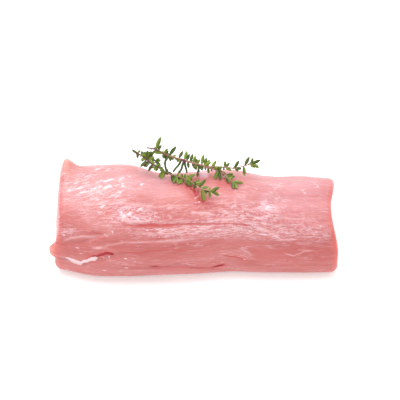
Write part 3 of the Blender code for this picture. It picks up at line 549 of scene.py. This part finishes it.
SPRIG_SEEDS = {"thyme_sprig_long": 11, "thyme_sprig_short": 23}
STEM_STEP, FINE_STEP = 0.0045, 0.0011
ROUTE_STEPS = 200
REST_GAP = 0.0004
WELD_GAP = 1e-5
PLANE_LEAN = 40
TWIST_SPREAD = 30
LEAF_FACING = Vector((0.1, -0.55, 0.83))
LEAF_LEAST_WIDTH, LEAF_WIDENING = 0.0018, 0.16  # a longer leaf is wider
LEAF_THICKNESS, LEAF_CURL, LEAF_TROUGH, LEAF_ROLL = 0.00045, 0.12, 0.22, 0.1
LEAF_SKEW, LEAF_ROUNDNESS, LEAF_NECK, LEAF_TIP = 1.05, 0.62, 0.14, 0.1
EDGE_THINNING, TIP_THICKNESS = 0.75, 0.55
BACK_LEAF_EVERY, BACK_LEAF_LENGTH, BACK_LEAF_TILT, BACK_LEAF_SPREAD = 5, 0.007, 62, 55
YOUNG_FROM, YOUNG_GAIN = 0.6, 2  # share of a shoot past which its leaves get younger, and how fast
BLADE_CUTS = (8, 3)  # along and across
KNUCKLE, KNUCKLE_TURN = 0.16, 1.7  # the joints' swelling, and how often it comes
STEM_FROM, STEM_TO = -0.064, 0.056  # x of the purple ends and of the tips
STEM_KNOT, KNOT_SIZE = Vector((-0.013, 0.0313, 0.0733)), 0.0026  # where the drooping shoots leave
GREEN_SHOOT_FALL = 0.5  # shoots that fall by more than this share of their length are soft and green


def walk_route(route, step):
    """Evenly spaced points along a smooth curve through the route."""
    shares = np.arange(ROUTE_STEPS + 1) / ROUTE_STEPS
    fine = np.stack([stations(values, shares) for values in zip(*route)], -1)
    travelled = np.concatenate([[0], np.cumsum(np.linalg.norm(np.diff(fine, axis=0), axis=1))])
    count = max(2, round(travelled[-1] / step))
    picked = [np.searchsorted(travelled, travelled[-1] * k / count) for k in range(count)]
    return [Vector(fine[i]) for i in picked] + [Vector(fine[-1])]


def leaves_of_shoot(shoot, draw):
    """(base, direction, facing, length, twist, place along the shoot) of each leaf."""
    route, _, leaves = shoot
    points = walk_route(route, STEM_STEP)
    spans = len(points) - 1
    lean_back = radians(PLANE_LEAN)
    plane_up = Vector((0, sin(lean_back), cos(lean_back)))
    plane_out = Vector((0, -cos(lean_back), sin(lean_back)))
    found = []
    for k, (percent, angle, lean, millimetres) in enumerate(leaves):
        share = percent / 100
        i = min(int(share * spans), spans - 1)
        base = points[i].lerp(points[i + 1], share * spans - i)
        rows = [(angle, lean, millimetres / 1000)]
        if k % BACK_LEAF_EVERY == 0:
            backwards = angle + 180 + draw.uniform(-1, 1) * BACK_LEAF_SPREAD
            rows.append((backwards, -BACK_LEAF_TILT, BACK_LEAF_LENGTH))
        for turned, leaning, length in rows:
            turn, tilt = radians(turned), radians(leaning)
            along = (Vector((cos(turn), 0, 0)) + plane_up * sin(turn)) * cos(tilt)
            along += plane_out * sin(tilt)
            facing = (LEAF_FACING - along * LEAF_FACING.dot(along)).normalized()
            twist = radians(draw.uniform(-1, 1) * TWIST_SPREAD)
            found.append((base, along, facing, length, twist, share))
    return found


def leaf_point(place, leaf, ground):
    """Where a point of a flat block, 0 to 1 long and -1 to 1 across and through, lies on this leaf."""
    base, along, facing, length, twist, _ = leaf
    share, across, side = place
    width = LEAF_LEAST_WIDTH + LEAF_WIDENING * length
    if share < 1:
        width *= max(LEAF_NECK, sin(pi * share**LEAF_SKEW) ** LEAF_ROUNDNESS)
    else:
        width *= LEAF_TIP
    level = facing.copy()
    level.rotate(Quaternion(along, twist * share))
    half = along.cross(level) * (0.5 * width)
    trough = LEAF_TROUGH * width * (abs(across) - 0.5)
    rolled = LEAF_ROLL * width * across**4
    thickness = LEAF_THICKNESS * (1 - EDGE_THINNING * across**2)
    thickness *= TIP_THICKNESS + (1 - TIP_THICKNESS) * (1 - share)
    point = base + along * (length * share) - facing * (LEAF_CURL * length * share**2)
    point += half * across + level * (trough - rolled + 0.5 * side * thickness)
    under = ground.ray_cast(Vector((point.x, point.y, 1)), Vector((0, 0, -1)))[0]
    clearance = REST_GAP + (LEAF_THICKNESS if side > 0 else 0)
    if under is not None and share > 0:
        point.z = max(point.z, under.z + clearance)
    return point


# ---- Finishes ----


class Finish:
    """A material's nodes, made one call at a time; every call gives back a socket."""

    def __init__(self, name):
        self.material = bpy.data.materials.new(name)
        self.material.use_nodes = True
        self.tree = self.material.node_tree

    def node(self, kind, inputs=(), output=0, **settings):
        made = self.tree.nodes.new("ShaderNode" + kind)
        for key, value in settings.items():
            setattr(made, key, value)
        for key, value in dict(inputs).items():
            self.set(made.inputs[key], value)
        return made.outputs[output]

    def set(self, socket, value):
        if isinstance(value, bpy.types.NodeSocket):
            self.tree.links.new(value, socket)
        else:
            socket.default_value = value

    def attribute(self, name, output="Fac"):
        return self.node("Attribute", (), output, attribute_name=name)

    def place(self, *scale):
        """Object coordinates, scaled."""
        return self.scaled(self.node("TexCoord", (), "Object"), scale)

    def scaled(self, vector, scale, offset=(0, 0, 0)):
        return self.node("Mapping", {"Vector": vector, "Scale": scale, "Location": offset})

    def noise(self, vector, detail=2, roughness=0.5, distortion=0):
        pattern = {"Detail": detail, "Roughness": roughness, "Distortion": distortion}
        return self.node("TexNoise", {"Vector": vector, "Scale": 1, **pattern}, "Fac")

    def lines(self, vector, width, distortion):
        """Thin wavering lines, 1 on them and 0 between them."""
        level = self.math("SUBTRACT", self.noise(vector, 3, 0.55, distortion), 0.5)
        return self.step(self.math("ABSOLUTE", level), 0, width, 1, 0)

    def cells(self, vector):
        """Distance to the nearest edge of scattered cells."""
        return self.node("TexVoronoi", {"Vector": vector, "Scale": 1}, feature="DISTANCE_TO_EDGE")

    def step(self, value, low, high, to_low=0, to_high=1):
        inputs = {0: value, 1: low, 2: high, 3: to_low, 4: to_high}
        return self.node("MapRange", inputs, interpolation_type="SMOOTHSTEP")

    def math(self, operation, a, b=0, clamp=False):
        return self.node("Math", {0: a, 1: b}, operation=operation, use_clamp=clamp)

    def times(self, a, b, clamp=False):
        return self.math("MULTIPLY", a, b, clamp)

    def plus(self, a, b, clamp=False):
        return self.math("ADD", a, b, clamp)

    def mix(self, share, a, b):
        a, b = (value if isinstance(value, bpy.types.NodeSocket) else (*value, 1) for value in (a, b))
        return self.node("Mix", {0: share, 6: a, 7: b}, 2, data_type="RGBA")

    def coats(self, base, *rows):
        """The base colour with coats over it, each a share and a colour."""
        for share, colour in rows:
            base = self.mix(share, base, colour)
        return base

    def bumps(self, height, distance, strength=1):
        return self.node("Bump", {"Height": height, "Distance": distance, "Strength": strength})

    def surface(self, **inputs):
        """Links sockets to the shader's inputs, sets constants on them, and gives back the material."""
        shader = self.tree.nodes["Principled BSDF"]
        for key, value in inputs.items():
            self.set(shader.inputs[key.replace("_", " ")], value)
        return self.material


def veal_finish(look):
    """Moist raw veal: fibres along the loin, membrane, fat, dark creases and grain on the cuts, with
    painted highlights of the wet film and the thyme's shadow painted on the meat.
    """
    f = Finish("raw_veal")
    fibre = f.attribute("fibre", "Vector")
    film, fat, crease, thread = map(f.attribute, ("film", "fat", "crease", "thread"))
    rim, cut, corner = map(f.attribute, ("rim", "cut", "corner"))

    def fibres(along, across, offset=(0, 0, 0)):
        return f.scaled(fibre, (along, across, across), offset)

    broad = f.noise(fibres(14, 60), 3)
    strands = f.noise(fibres(70, 420), 4, 0.6, 0.6)
    threads = f.noise(fibres(160, 1100), 3, 0.6, 0.4)
    mottle = f.noise(fibres(170, 380), 3, 0.6, 0.8)
    patches = f.noise(fibres(45, 90, (5, 2, 8)), 3, 0.6)
    lines = f.lines(fibres(40, 380, (3, 5, 7)), 0.045, 0.4)
    curls = f.lines(fibres(85, 440, (8, 1, 4)), 0.042, 0.6)
    # Dashes and beads: painted highlights of the wet film
    dashes = f.step(f.noise(fibres(150, 620, (1, 9, 2)), 2, 0.5, 0.4), 0.56, 0.63)
    beads = f.step(f.noise(fibres(460, 560, (6, 3, 1)), 2), 0.58, 0.66)

    flesh = f.coats(
        look.deep_flesh,
        (f.step(broad, 0.35, 0.65), look.flesh),
        (f.times(f.step(strands, 0.42, 0.66), 0.3), look.pale_flesh),
        (f.times(f.step(threads, 0.5, 0.3), 0.14), look.deep_flesh),
    )
    open_film = f.times(film, f.step(crease, 0.05, 0.35, 1, 0.2))
    reach = f.plus(open_film, f.step(patches, 0.42, 0.66, 0.06, 0.6), True)
    # White marks on the film: pale lines and curls of membrane, with dashes and beads painted as
    # highlights of the wet film
    marks = f.plus(f.plus(curls, dashes), beads, True)
    marks = f.plus(lines, f.times(marks, film), True)
    marks = f.times(f.times(marks, reach), f.step(rim, 0.1, 0.9, 1, 0.2))
    # Painted highlights: the listed glints, broken up by the mottle
    painted_glint_share = f.plus(f.attribute("glint"), f.step(mottle, 0.38, 0.62, -0.3, 0.15))
    edge = f.times(rim, f.step(mottle, 0.3, 0.6, 0.35, 1))
    broken_crease = f.times(crease, f.step(threads, 0.2, 0.6, 0.7, 1))
    frayed_fat = f.plus(fat, f.times(f.math("SUBTRACT", mottle, 0.5), 0.5))
    side = f.coats(
        flesh,
        (f.times(open_film, f.step(mottle, 0.44, 0.62, 0.06, 0.24)), look.membrane),
        # white marks, partly painted highlights, in the highlight colour
        (f.times(marks, f.step(threads, 0.35, 0.6, 0.15, look.line_and_glint_strength)), look.glint),
        # painted shadow under the thyme in deep red, and faint red patches on the front
        (f.times(f.attribute("blush"), look.blush), look.shadow_and_blush_flesh),
        (f.attribute("veil"), look.membrane),
        (f.times(f.attribute("scrap"), f.step(mottle, 0.36, 0.6, 0.7, 1)), look.scrap),
        # painted highlights of the wet film
        (f.step(painted_glint_share, 0.12, 0.76, 0, 0.8), look.glint),
        (f.times(thread, f.step(strands, 0.25, 0.55, 0.5, 1)), look.tissue),
        (f.times(edge, 0.75), look.rim_flesh),
        (f.times(corner, 0.75, True), look.corner_fat),
        (f.step(broken_crease, 0.06, 0.4), look.seam),
        (f.step(broken_crease, 0.35, 0.85), look.crease),
        (f.step(frayed_fat, 0.28, 0.55), look.fat),
    )
    bundles = f.cells(fibres(10, 330))
    grain = f.noise(fibres(20, 900), 3)
    seams = f.lines(fibres(8, 26, (2, 4, 1)), 0.014, 0.5)
    end = f.coats(
        look.cut_flesh,
        (f.step(grain, 0.35, 0.7), look.flesh),
        (f.step(broad, 0.35, 0.65, 0.35, 0), look.deep_flesh),
        (f.step(bundles, 0, 0.16, 0.3, 0), look.pale_flesh),
        (f.times(seams, f.step(patches, 0.35, 0.6, 0.1, 0.45)), look.membrane),
    )

    height = f.plus(strands, f.times(threads, 0.2))
    height = f.plus(height, f.times(marks, 0.12))
    height = f.plus(height, f.times(f.times(grain, cut), 0.5))
    normal = f.bumps(height, look.fibre_depth)
    return f.surface(
        Base_Color=f.mix(cut, side, end),
        Roughness=f.step(strands, 0.3, 0.7, 0.34, 0.52),
        Normal=normal,
        IOR=1.42,
        Coat_Normal=normal,
        Coat_Weight=look.moisture,
        Coat_Roughness=0.15,
        Subsurface_Weight=0.6,
        Subsurface_Radius=(1, 0.22, 0.14),
        Subsurface_Scale=0.01,
    )


def leaf_finish(look):
    """Thyme leaf: dark glossy top with a paler midrib and one half darker as painted shade, dull
    grey-green back, and its own tone.
    """
    f = Finish("thyme_leaf")
    across, under, tone, young = map(f.attribute, ("across", "under", "tone", "young"))
    spots = f.noise(f.place(900, 900, 900), 3)
    colour = f.coats(
        look.dark_leaf_and_shade,
        (f.step(tone, 0.15, 0.85), look.leaf),
        (f.times(young, 0.7), look.young_leaf),
        (f.times(f.step(spots, 0.45, 0.75), 0.35), look.young_leaf),
        # Painted shade: one half of each leaf's top darker, as the half of a folded leaf that is in
        # shade
        (f.step(across, -0.15, 0.15, 0, 0.45), look.dark_leaf_and_shade),
        (f.step(f.math("ABSOLUTE", across), 0, 0.22, 0.35, 0), look.leaf_back),
        (under, look.leaf_back),
    )
    return f.surface(
        Base_Color=colour,
        Normal=f.bumps(spots, 0.0002, 0.6),
        Roughness=0.3,
        Specular_IOR_Level=0.65,
        Specular_Tint=(0.88, 1, 0.55, 1),
        Subsurface_Weight=0.12,
        Subsurface_Radius=(0.5, 1, 0.2),
        Subsurface_Scale=0.0012,
    )


def stem_finish(look):
    """Thyme stem: purple where it was cut, woody brown along, greenish pink at the tips."""
    f = Finish("thyme_stem")
    along = f.attribute("along")
    bark = f.noise(f.place(500, 1600, 1600), 3)
    colour = f.coats(
        look.stem_base,
        (f.step(along, 0.15, 0.45), look.stem_wood),
        (f.step(along, 0.6, 0.95), look.stem_tip),
        (f.times(f.step(bark, 0.4, 0.7), 0.4), look.stem_base),
        (f.attribute("green"), look.stem_soft),
        (f.attribute("knot"), look.stem_knot),
    )
    return f.surface(Base_Color=colour, Normal=f.bumps(bark, 0.0002), Roughness=0.6)


def floor_finish(look):
    f = Finish("studio_floor")
    clouds = f.times(f.noise(f.place(3, 3, 3), 2), 0.02)
    return f.surface(
        Base_Color=f.mix(clouds, look.floor, look.floor_clouds),
        Roughness=0.6,
        Emission_Color=(0.85, 1, 1, 1),
        Emission_Strength=look.floor_glow,
    )


# ---- Making the pieces ----


def colour(name, description, *default):
    return FloatVectorProperty(
        name=name, description=description, subtype="COLOR", size=3, min=0, max=1, default=default
    )


def number(name, description, default, **more):
    return FloatProperty(name=name, description=description, default=default, min=0, **more)


class StriploinLook(bpy.types.PropertyGroup):
    """Colours and moisture of the meat."""

    flesh: colour("Flesh", "Most of the meat", 0.56, 0.163, 0.155)
    pale_flesh: colour("Pale flesh", "Lighter fibres", 0.64, 0.252, 0.246)
    deep_flesh: colour("Deep flesh", "Darker areas", 0.51, 0.122, 0.114)
    rim_flesh: colour("Rim flesh", "Red edges of the cuts", 0.82, 0.12, 0.09)
    # Colour of the painted shadow of the thyme and of the deep red patches
    shadow_and_blush_flesh: colour("Blush", "Deep red patches", 0.46, 0.026, 0.022)
    cut_flesh: colour("Cut flesh", "Fibres cut across", 0.62, 0.15, 0.14)
    membrane: colour("Membrane", "Silvery film", 0.75, 0.45, 0.53)
    # Colour of the painted highlights, and of the pale lines on the membrane
    glint: colour("Glint", "Wet white marks on the membrane", 0.9, 0.75, 0.81)
    tissue: colour("Tissue", "Pale threads of connective tissue", 0.77, 0.47, 0.48)
    scrap: colour("Scrap", "Pale membrane beside the thyme", 0.74, 0.42, 0.5)
    fat: colour("Fat", "Streaks and flecks of fat", 0.78, 0.58, 0.6)
    corner_fat: colour("Corner fat", "Pale corner tip and nub", 0.71, 0.37, 0.305)
    seam: colour("Seam", "Shallow lines between muscles", 0.56, 0.095, 0.088)
    crease: colour("Crease", "Deep lines between muscles", 0.36, 0.002, 0.014)
    # How strongly the painted shadow of the thyme and the red patches show
    blush: number("Blush strength", "How red the patches are", 1, max=1)
    # How strongly the white marks show, which are partly painted highlights
    line_and_glint_strength: number("Glint strength", "How white the wet marks are", 0.58, max=1)
    fibre_depth: number("Fibre depth", "Depth of the finest fibres", 0.00045, unit="LENGTH")
    moisture: number("Moisture", "Wet film on the meat", 0.33, max=1)


class ThymeLook(bpy.types.PropertyGroup):
    """Colours of the thyme."""

    leaf: colour("Leaf", "Top of a full-grown leaf", 0.19, 0.26, 0.018)
    # Colour of old leaves, also used for the painted shade on one half of each leaf
    dark_leaf_and_shade: colour("Dark leaf", "Top of an old leaf", 0.022, 0.044, 0.003)
    young_leaf: colour("Young leaf", "Leaves near the tips", 0.3, 0.4, 0.05)
    leaf_back: colour("Leaf back", "Dull underside and midrib", 0.28, 0.34, 0.13)
    stem_base: colour("Stem base", "Purple end of a stem", 0.16, 0.035, 0.055)
    stem_knot: colour("Stem knot", "Purple knot of the upper sprig", 0.19, 0.012, 0.07)
    stem_wood: colour("Stem wood", "Woody middle of a stem", 0.48, 0.26, 0.17)
    stem_tip: colour("Stem tip", "Soft end of a stem", 0.42, 0.24, 0.15)
    stem_soft: colour("Soft stem", "Green shoots that hang down", 0.055, 0.1, 0.01)
    sides: IntProperty(name="Stem sides", description="Roundness of a stem", default=3, min=1, max=6)


class StudioLook(bpy.types.PropertyGroup):
    """Floor, lights and camera."""

    floor: colour("Floor", "Colour of the floor", 0.9, 0.89, 0.89)
    floor_clouds: colour("Floor clouds", "Faint clouds in the floor", 0.95, 0.93, 0.92)
    floor_glow: number("Floor glow", "Light of the floor itself", 0.36)
    elevation: number("Elevation", "Camera height angle", radians(40), subtype="ANGLE")
    distance: number("Distance", "From camera to target", 1.2, unit="LENGTH")
    lens: number("Lens", "Focal length in millimetres", 110.8)
    surround: number("Surround", "Strength of the light from all round", 0.98)
    key: number("Key light", "Power of the light above", 3.6, unit="POWER")
    back: number("Back light", "Power of the light behind", 9.5, unit="POWER")


CAMERA_TARGET, SENSOR_WIDTH = Vector((0.0035, -0.005, 0.0534)), 36
KEY_PLACE, KEY_SIZE = (-0.28, -0.1, 1.15), (0.6, 0.5)
BACK_PLACE, BACK_SIZE = (-0.3, 0.95, 0.95), (1.1, 0.5)
SURROUND_COLOUR = (1, 0.99, 0.985, 1)
FLOOR_RADIUS, FLOOR_SEGMENTS = 6, 96


def cut_block(*cuts):
    """A block from -1 to 1 each way, cut evenly along its first axes."""
    block = bmesh.new()
    bmesh.ops.create_cube(block, size=2)
    for axis, count in enumerate(cuts):
        parallel = [e for e in block.edges if abs(e.verts[0].co[axis] - e.verts[1].co[axis]) > 1]
        bmesh.ops.subdivide_edges(block, edges=parallel, cuts=count, use_grid_fill=True)
    return block


def as_mesh(shape, name):
    mesh = bpy.data.meshes.new(name)
    shape.to_mesh(mesh)
    shape.free()
    return mesh


def add_object(name, data):
    added = bpy.data.objects.new(name, data)
    bpy.context.scene.collection.objects.link(added)
    return added


def add_piece(mesh, material, slot, *nodes):
    """A finished piece at the origin, which rides on the body and stands for the CAD nodes."""
    mesh.materials.append(material)
    mesh.shade_smooth()
    piece = add_object(mesh.name, mesh)
    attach(piece, BODY)
    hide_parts(*nodes)


def write_layer(mesh, name, values, kind="FLOAT", field="value"):
    layer = mesh.attributes.new(name, kind, "POINT")
    layer.data.foreach_set(field, np.asarray(values, np.float32).ravel())


class STRIPLOIN_OT_loin(bpy.types.Operator):
    """Build the loin with its fibres, seams, membrane and cut faces"""

    bl_idname = "striploin.loin"
    bl_label = "Loin"

    def execute(self, context):
        mesh = as_mesh(cut_block(*CUTS), "veal_loin")
        places = np.empty(len(mesh.vertices) * 3)
        mesh.vertices.foreach_get("co", places)
        skin = LoinSkin(places.reshape(-1, 3).round(6))
        mesh.vertices.foreach_set("co", skin.points.ravel())
        write_layer(mesh, "fibre", skin.fibre, "FLOAT_VECTOR", "vector")
        for name, values in skin.layers().items():
            write_layer(mesh, name, values)
        mesh.update()
        add_piece(mesh, veal_finish(context.scene.striploin_look), "raw_veal", "striploin")
        return {"FINISHED"}


class STRIPLOIN_OT_sprig(bpy.types.Operator):
    """Build one sprig of thyme: its stems, and all its leaves as one mesh"""

    bl_idname = "striploin.sprig"
    bl_label = "Thyme sprig"
    node: StringProperty(name="Sprig", description="The solid to dress", default="thyme_sprig_long")

    def execute(self, context):
        look = context.scene.thyme_look
        loin = bpy.data.objects["veal_loin"].data
        corners = [face.vertices for face in loin.polygons]
        ground = BVHTree.FromPolygons([vertex.co for vertex in loin.vertices], corners)
        self.add_part(self.stems(look), "_stems", stem_finish(look))
        self.add_part(self.leaves(ground), "_leaves", leaf_finish(look))
        return {"FINISHED"}

    def add_part(self, joined, ending, material):
        bmesh.ops.recalc_face_normals(joined, faces=joined.faces)
        add_piece(as_mesh(joined, self.node + ending), material, "thyme", self.node)

    def stems(self, look):
        joined = bmesh.new()
        along, green, knot = (joined.verts.layers.float.new(key) for key in ("along", "green", "knot"))
        for route, radii, _ in SPRIGS[self.node]:
            points = walk_route(route, FINE_STEP)
            curve = bpy.data.curves.new("shoot", "CURVE")
            curve.dimensions = "3D"
            curve.bevel_depth = 1
            curve.bevel_resolution = look.sides
            curve.use_fill_caps = True
            spline = curve.splines.new("POLY")
            spline.points.add(len(points) - 1)
            at_base, at_tip = metres(radii)
            for i, (place, point) in enumerate(zip(spline.points, points)):
                knuckle = 1 + KNUCKLE * max(0, sin(i * KNUCKLE_TURN)) ** 3
                place.co = (*point, 1)
                place.radius = (at_base + (at_tip - at_base) * i / (len(points) - 1)) * knuckle
            fall = points[0].z - points[-1].z
            tube = bpy.data.objects.new("shoot", curve)
            start = len(joined.verts)
            joined.from_mesh(bpy.data.meshes.new_from_object(tube))
            joined.verts.ensure_lookup_table()
            for vertex in joined.verts[start:]:
                vertex[along] = min(max((vertex.co.x - STEM_FROM) / (STEM_TO - STEM_FROM), 0), 1)
                vertex[knot] = exp(-(((vertex.co - STEM_KNOT).length / KNOT_SIZE) ** 4))
                vertex[green] = float(fall > GREEN_SHOOT_FALL * len(points) * FINE_STEP)
            bpy.data.objects.remove(tube)
        bmesh.ops.remove_doubles(joined, verts=joined.verts, dist=WELD_GAP)
        return joined

    def leaves(self, ground):
        template = cut_block(*BLADE_CUTS)
        bmesh.ops.translate(template, vec=(1, 0, 0), verts=template.verts)
        bmesh.ops.scale(template, vec=(0.5, 1, 1), verts=template.verts)
        template = as_mesh(template, "blade_template")
        draw, tones = random.Random(SPRIG_SEEDS[self.node]), random.Random(SPRIG_SEEDS[self.node] + 1)
        joined = bmesh.new()
        keys = ("across", "under", "tone", "young")
        across, under, tone, young = (joined.verts.layers.float.new(key) for key in keys)
        for shoot in SPRIGS[self.node]:
            for leaf in leaves_of_shoot(shoot, draw):
                start = len(joined.verts)
                joined.from_mesh(template)
                joined.verts.ensure_lookup_table()
                own_tone, share = tones.random(), leaf[-1]
                for vertex in joined.verts[start:]:
                    place = vertex.co.copy()
                    vertex[across] = place.y
                    vertex[under] = float(place.z < 0)
                    vertex[tone] = own_tone
                    vertex[young] = max(0, share - YOUNG_FROM) * YOUNG_GAIN * own_tone
                    vertex.co = leaf_point(place, leaf, ground)
        bpy.data.meshes.remove(template)
        return joined


class STRIPLOIN_OT_stage(bpy.types.Operator):
    """Set up the pale floor, the soft lights and the camera"""

    bl_idname = "striploin.stage"
    bl_label = "Stage"

    def execute(self, context):
        scene = context.scene
        look = scene.studio_look
        scene.view_settings.view_transform = "Standard"
        slab = bmesh.new()
        bmesh.ops.create_circle(slab, cap_ends=True, radius=FLOOR_RADIUS, segments=FLOOR_SEGMENTS)
        floor = add_object("floor", as_mesh(slab, "floor"))
        floor.data.materials.append(floor_finish(look))
        self.add_light("key_light", look.key, KEY_PLACE, KEY_SIZE)
        self.add_light("back_light", look.back, BACK_PLACE, BACK_SIZE)
        scene.world = bpy.data.worlds.new("surround")
        scene.world.use_nodes = True
        background = scene.world.node_tree.nodes["Background"].inputs
        background["Color"].default_value = SURROUND_COLOUR
        background["Strength"].default_value = look.surround
        lens = bpy.data.cameras.new("camera")
        lens.lens, lens.sensor_width = look.lens, SENSOR_WIDTH
        away = Vector((0, -cos(look.elevation), sin(look.elevation)))
        scene.camera = self.aim(add_object("camera", lens), CAMERA_TARGET + away * look.distance, away)
        return {"FINISHED"}

    @staticmethod
    def aim(item, place, away):
        item.location = place
        item.rotation_euler = away.to_track_quat("Z", "Y").to_euler()
        return item

    def add_light(self, name, power, place, size):
        data = bpy.data.lights.new(name, "AREA")
        data.shape = "RECTANGLE"
        data.size, data.size_y = size
        data.energy = power
        self.aim(add_object(name, data), place, Vector(place) - CAMERA_TARGET)


class STRIPLOIN_PT_panel(bpy.types.Panel):
    """Lists what the add-on builds"""

    bl_label = "Striploin"
    bl_idname = "STRIPLOIN_PT_panel"
    bl_space_type = "VIEW_3D"
    bl_region_type = "UI"
    bl_category = "Striploin"

    def draw(self, context):
        column = self.layout.column()
        column.operator("striploin.loin")
        for node in SPRIGS:
            column.operator("striploin.sprig", text=node).node = node
        column.operator("striploin.stage")
        for group in (getattr(context.scene, name) for name in LOOKS):
            for key in group.bl_rna.properties.keys():
                if key not in ("rna_type", "name"):
                    column.prop(group, key)


LOOKS = {"striploin_look": StriploinLook, "thyme_look": ThymeLook, "studio_look": StudioLook}
CLASSES = (
    *LOOKS.values(), STRIPLOIN_OT_loin, STRIPLOIN_OT_sprig, STRIPLOIN_OT_stage, STRIPLOIN_PT_panel
)


def register():
    for cls in CLASSES:
        bpy.utils.register_class(cls)
    for name, look in LOOKS.items():
        setattr(bpy.types.Scene, name, PointerProperty(type=look))


def unregister():
    for name in LOOKS:
        delattr(bpy.types.Scene, name)
    for cls in reversed(CLASSES):
        bpy.utils.unregister_class(cls)


def main():
    register()
    for old in [o for o in bpy.data.objects if o.name in ("Cube", "Light", "Camera")]:
        bpy.data.objects.remove(old)
    bpy.ops.striploin.stage()
    bpy.ops.striploin.loin()
    for node in SPRIGS:
        bpy.ops.striploin.sprig(node=node)


if __name__ == "__main__":
    main()
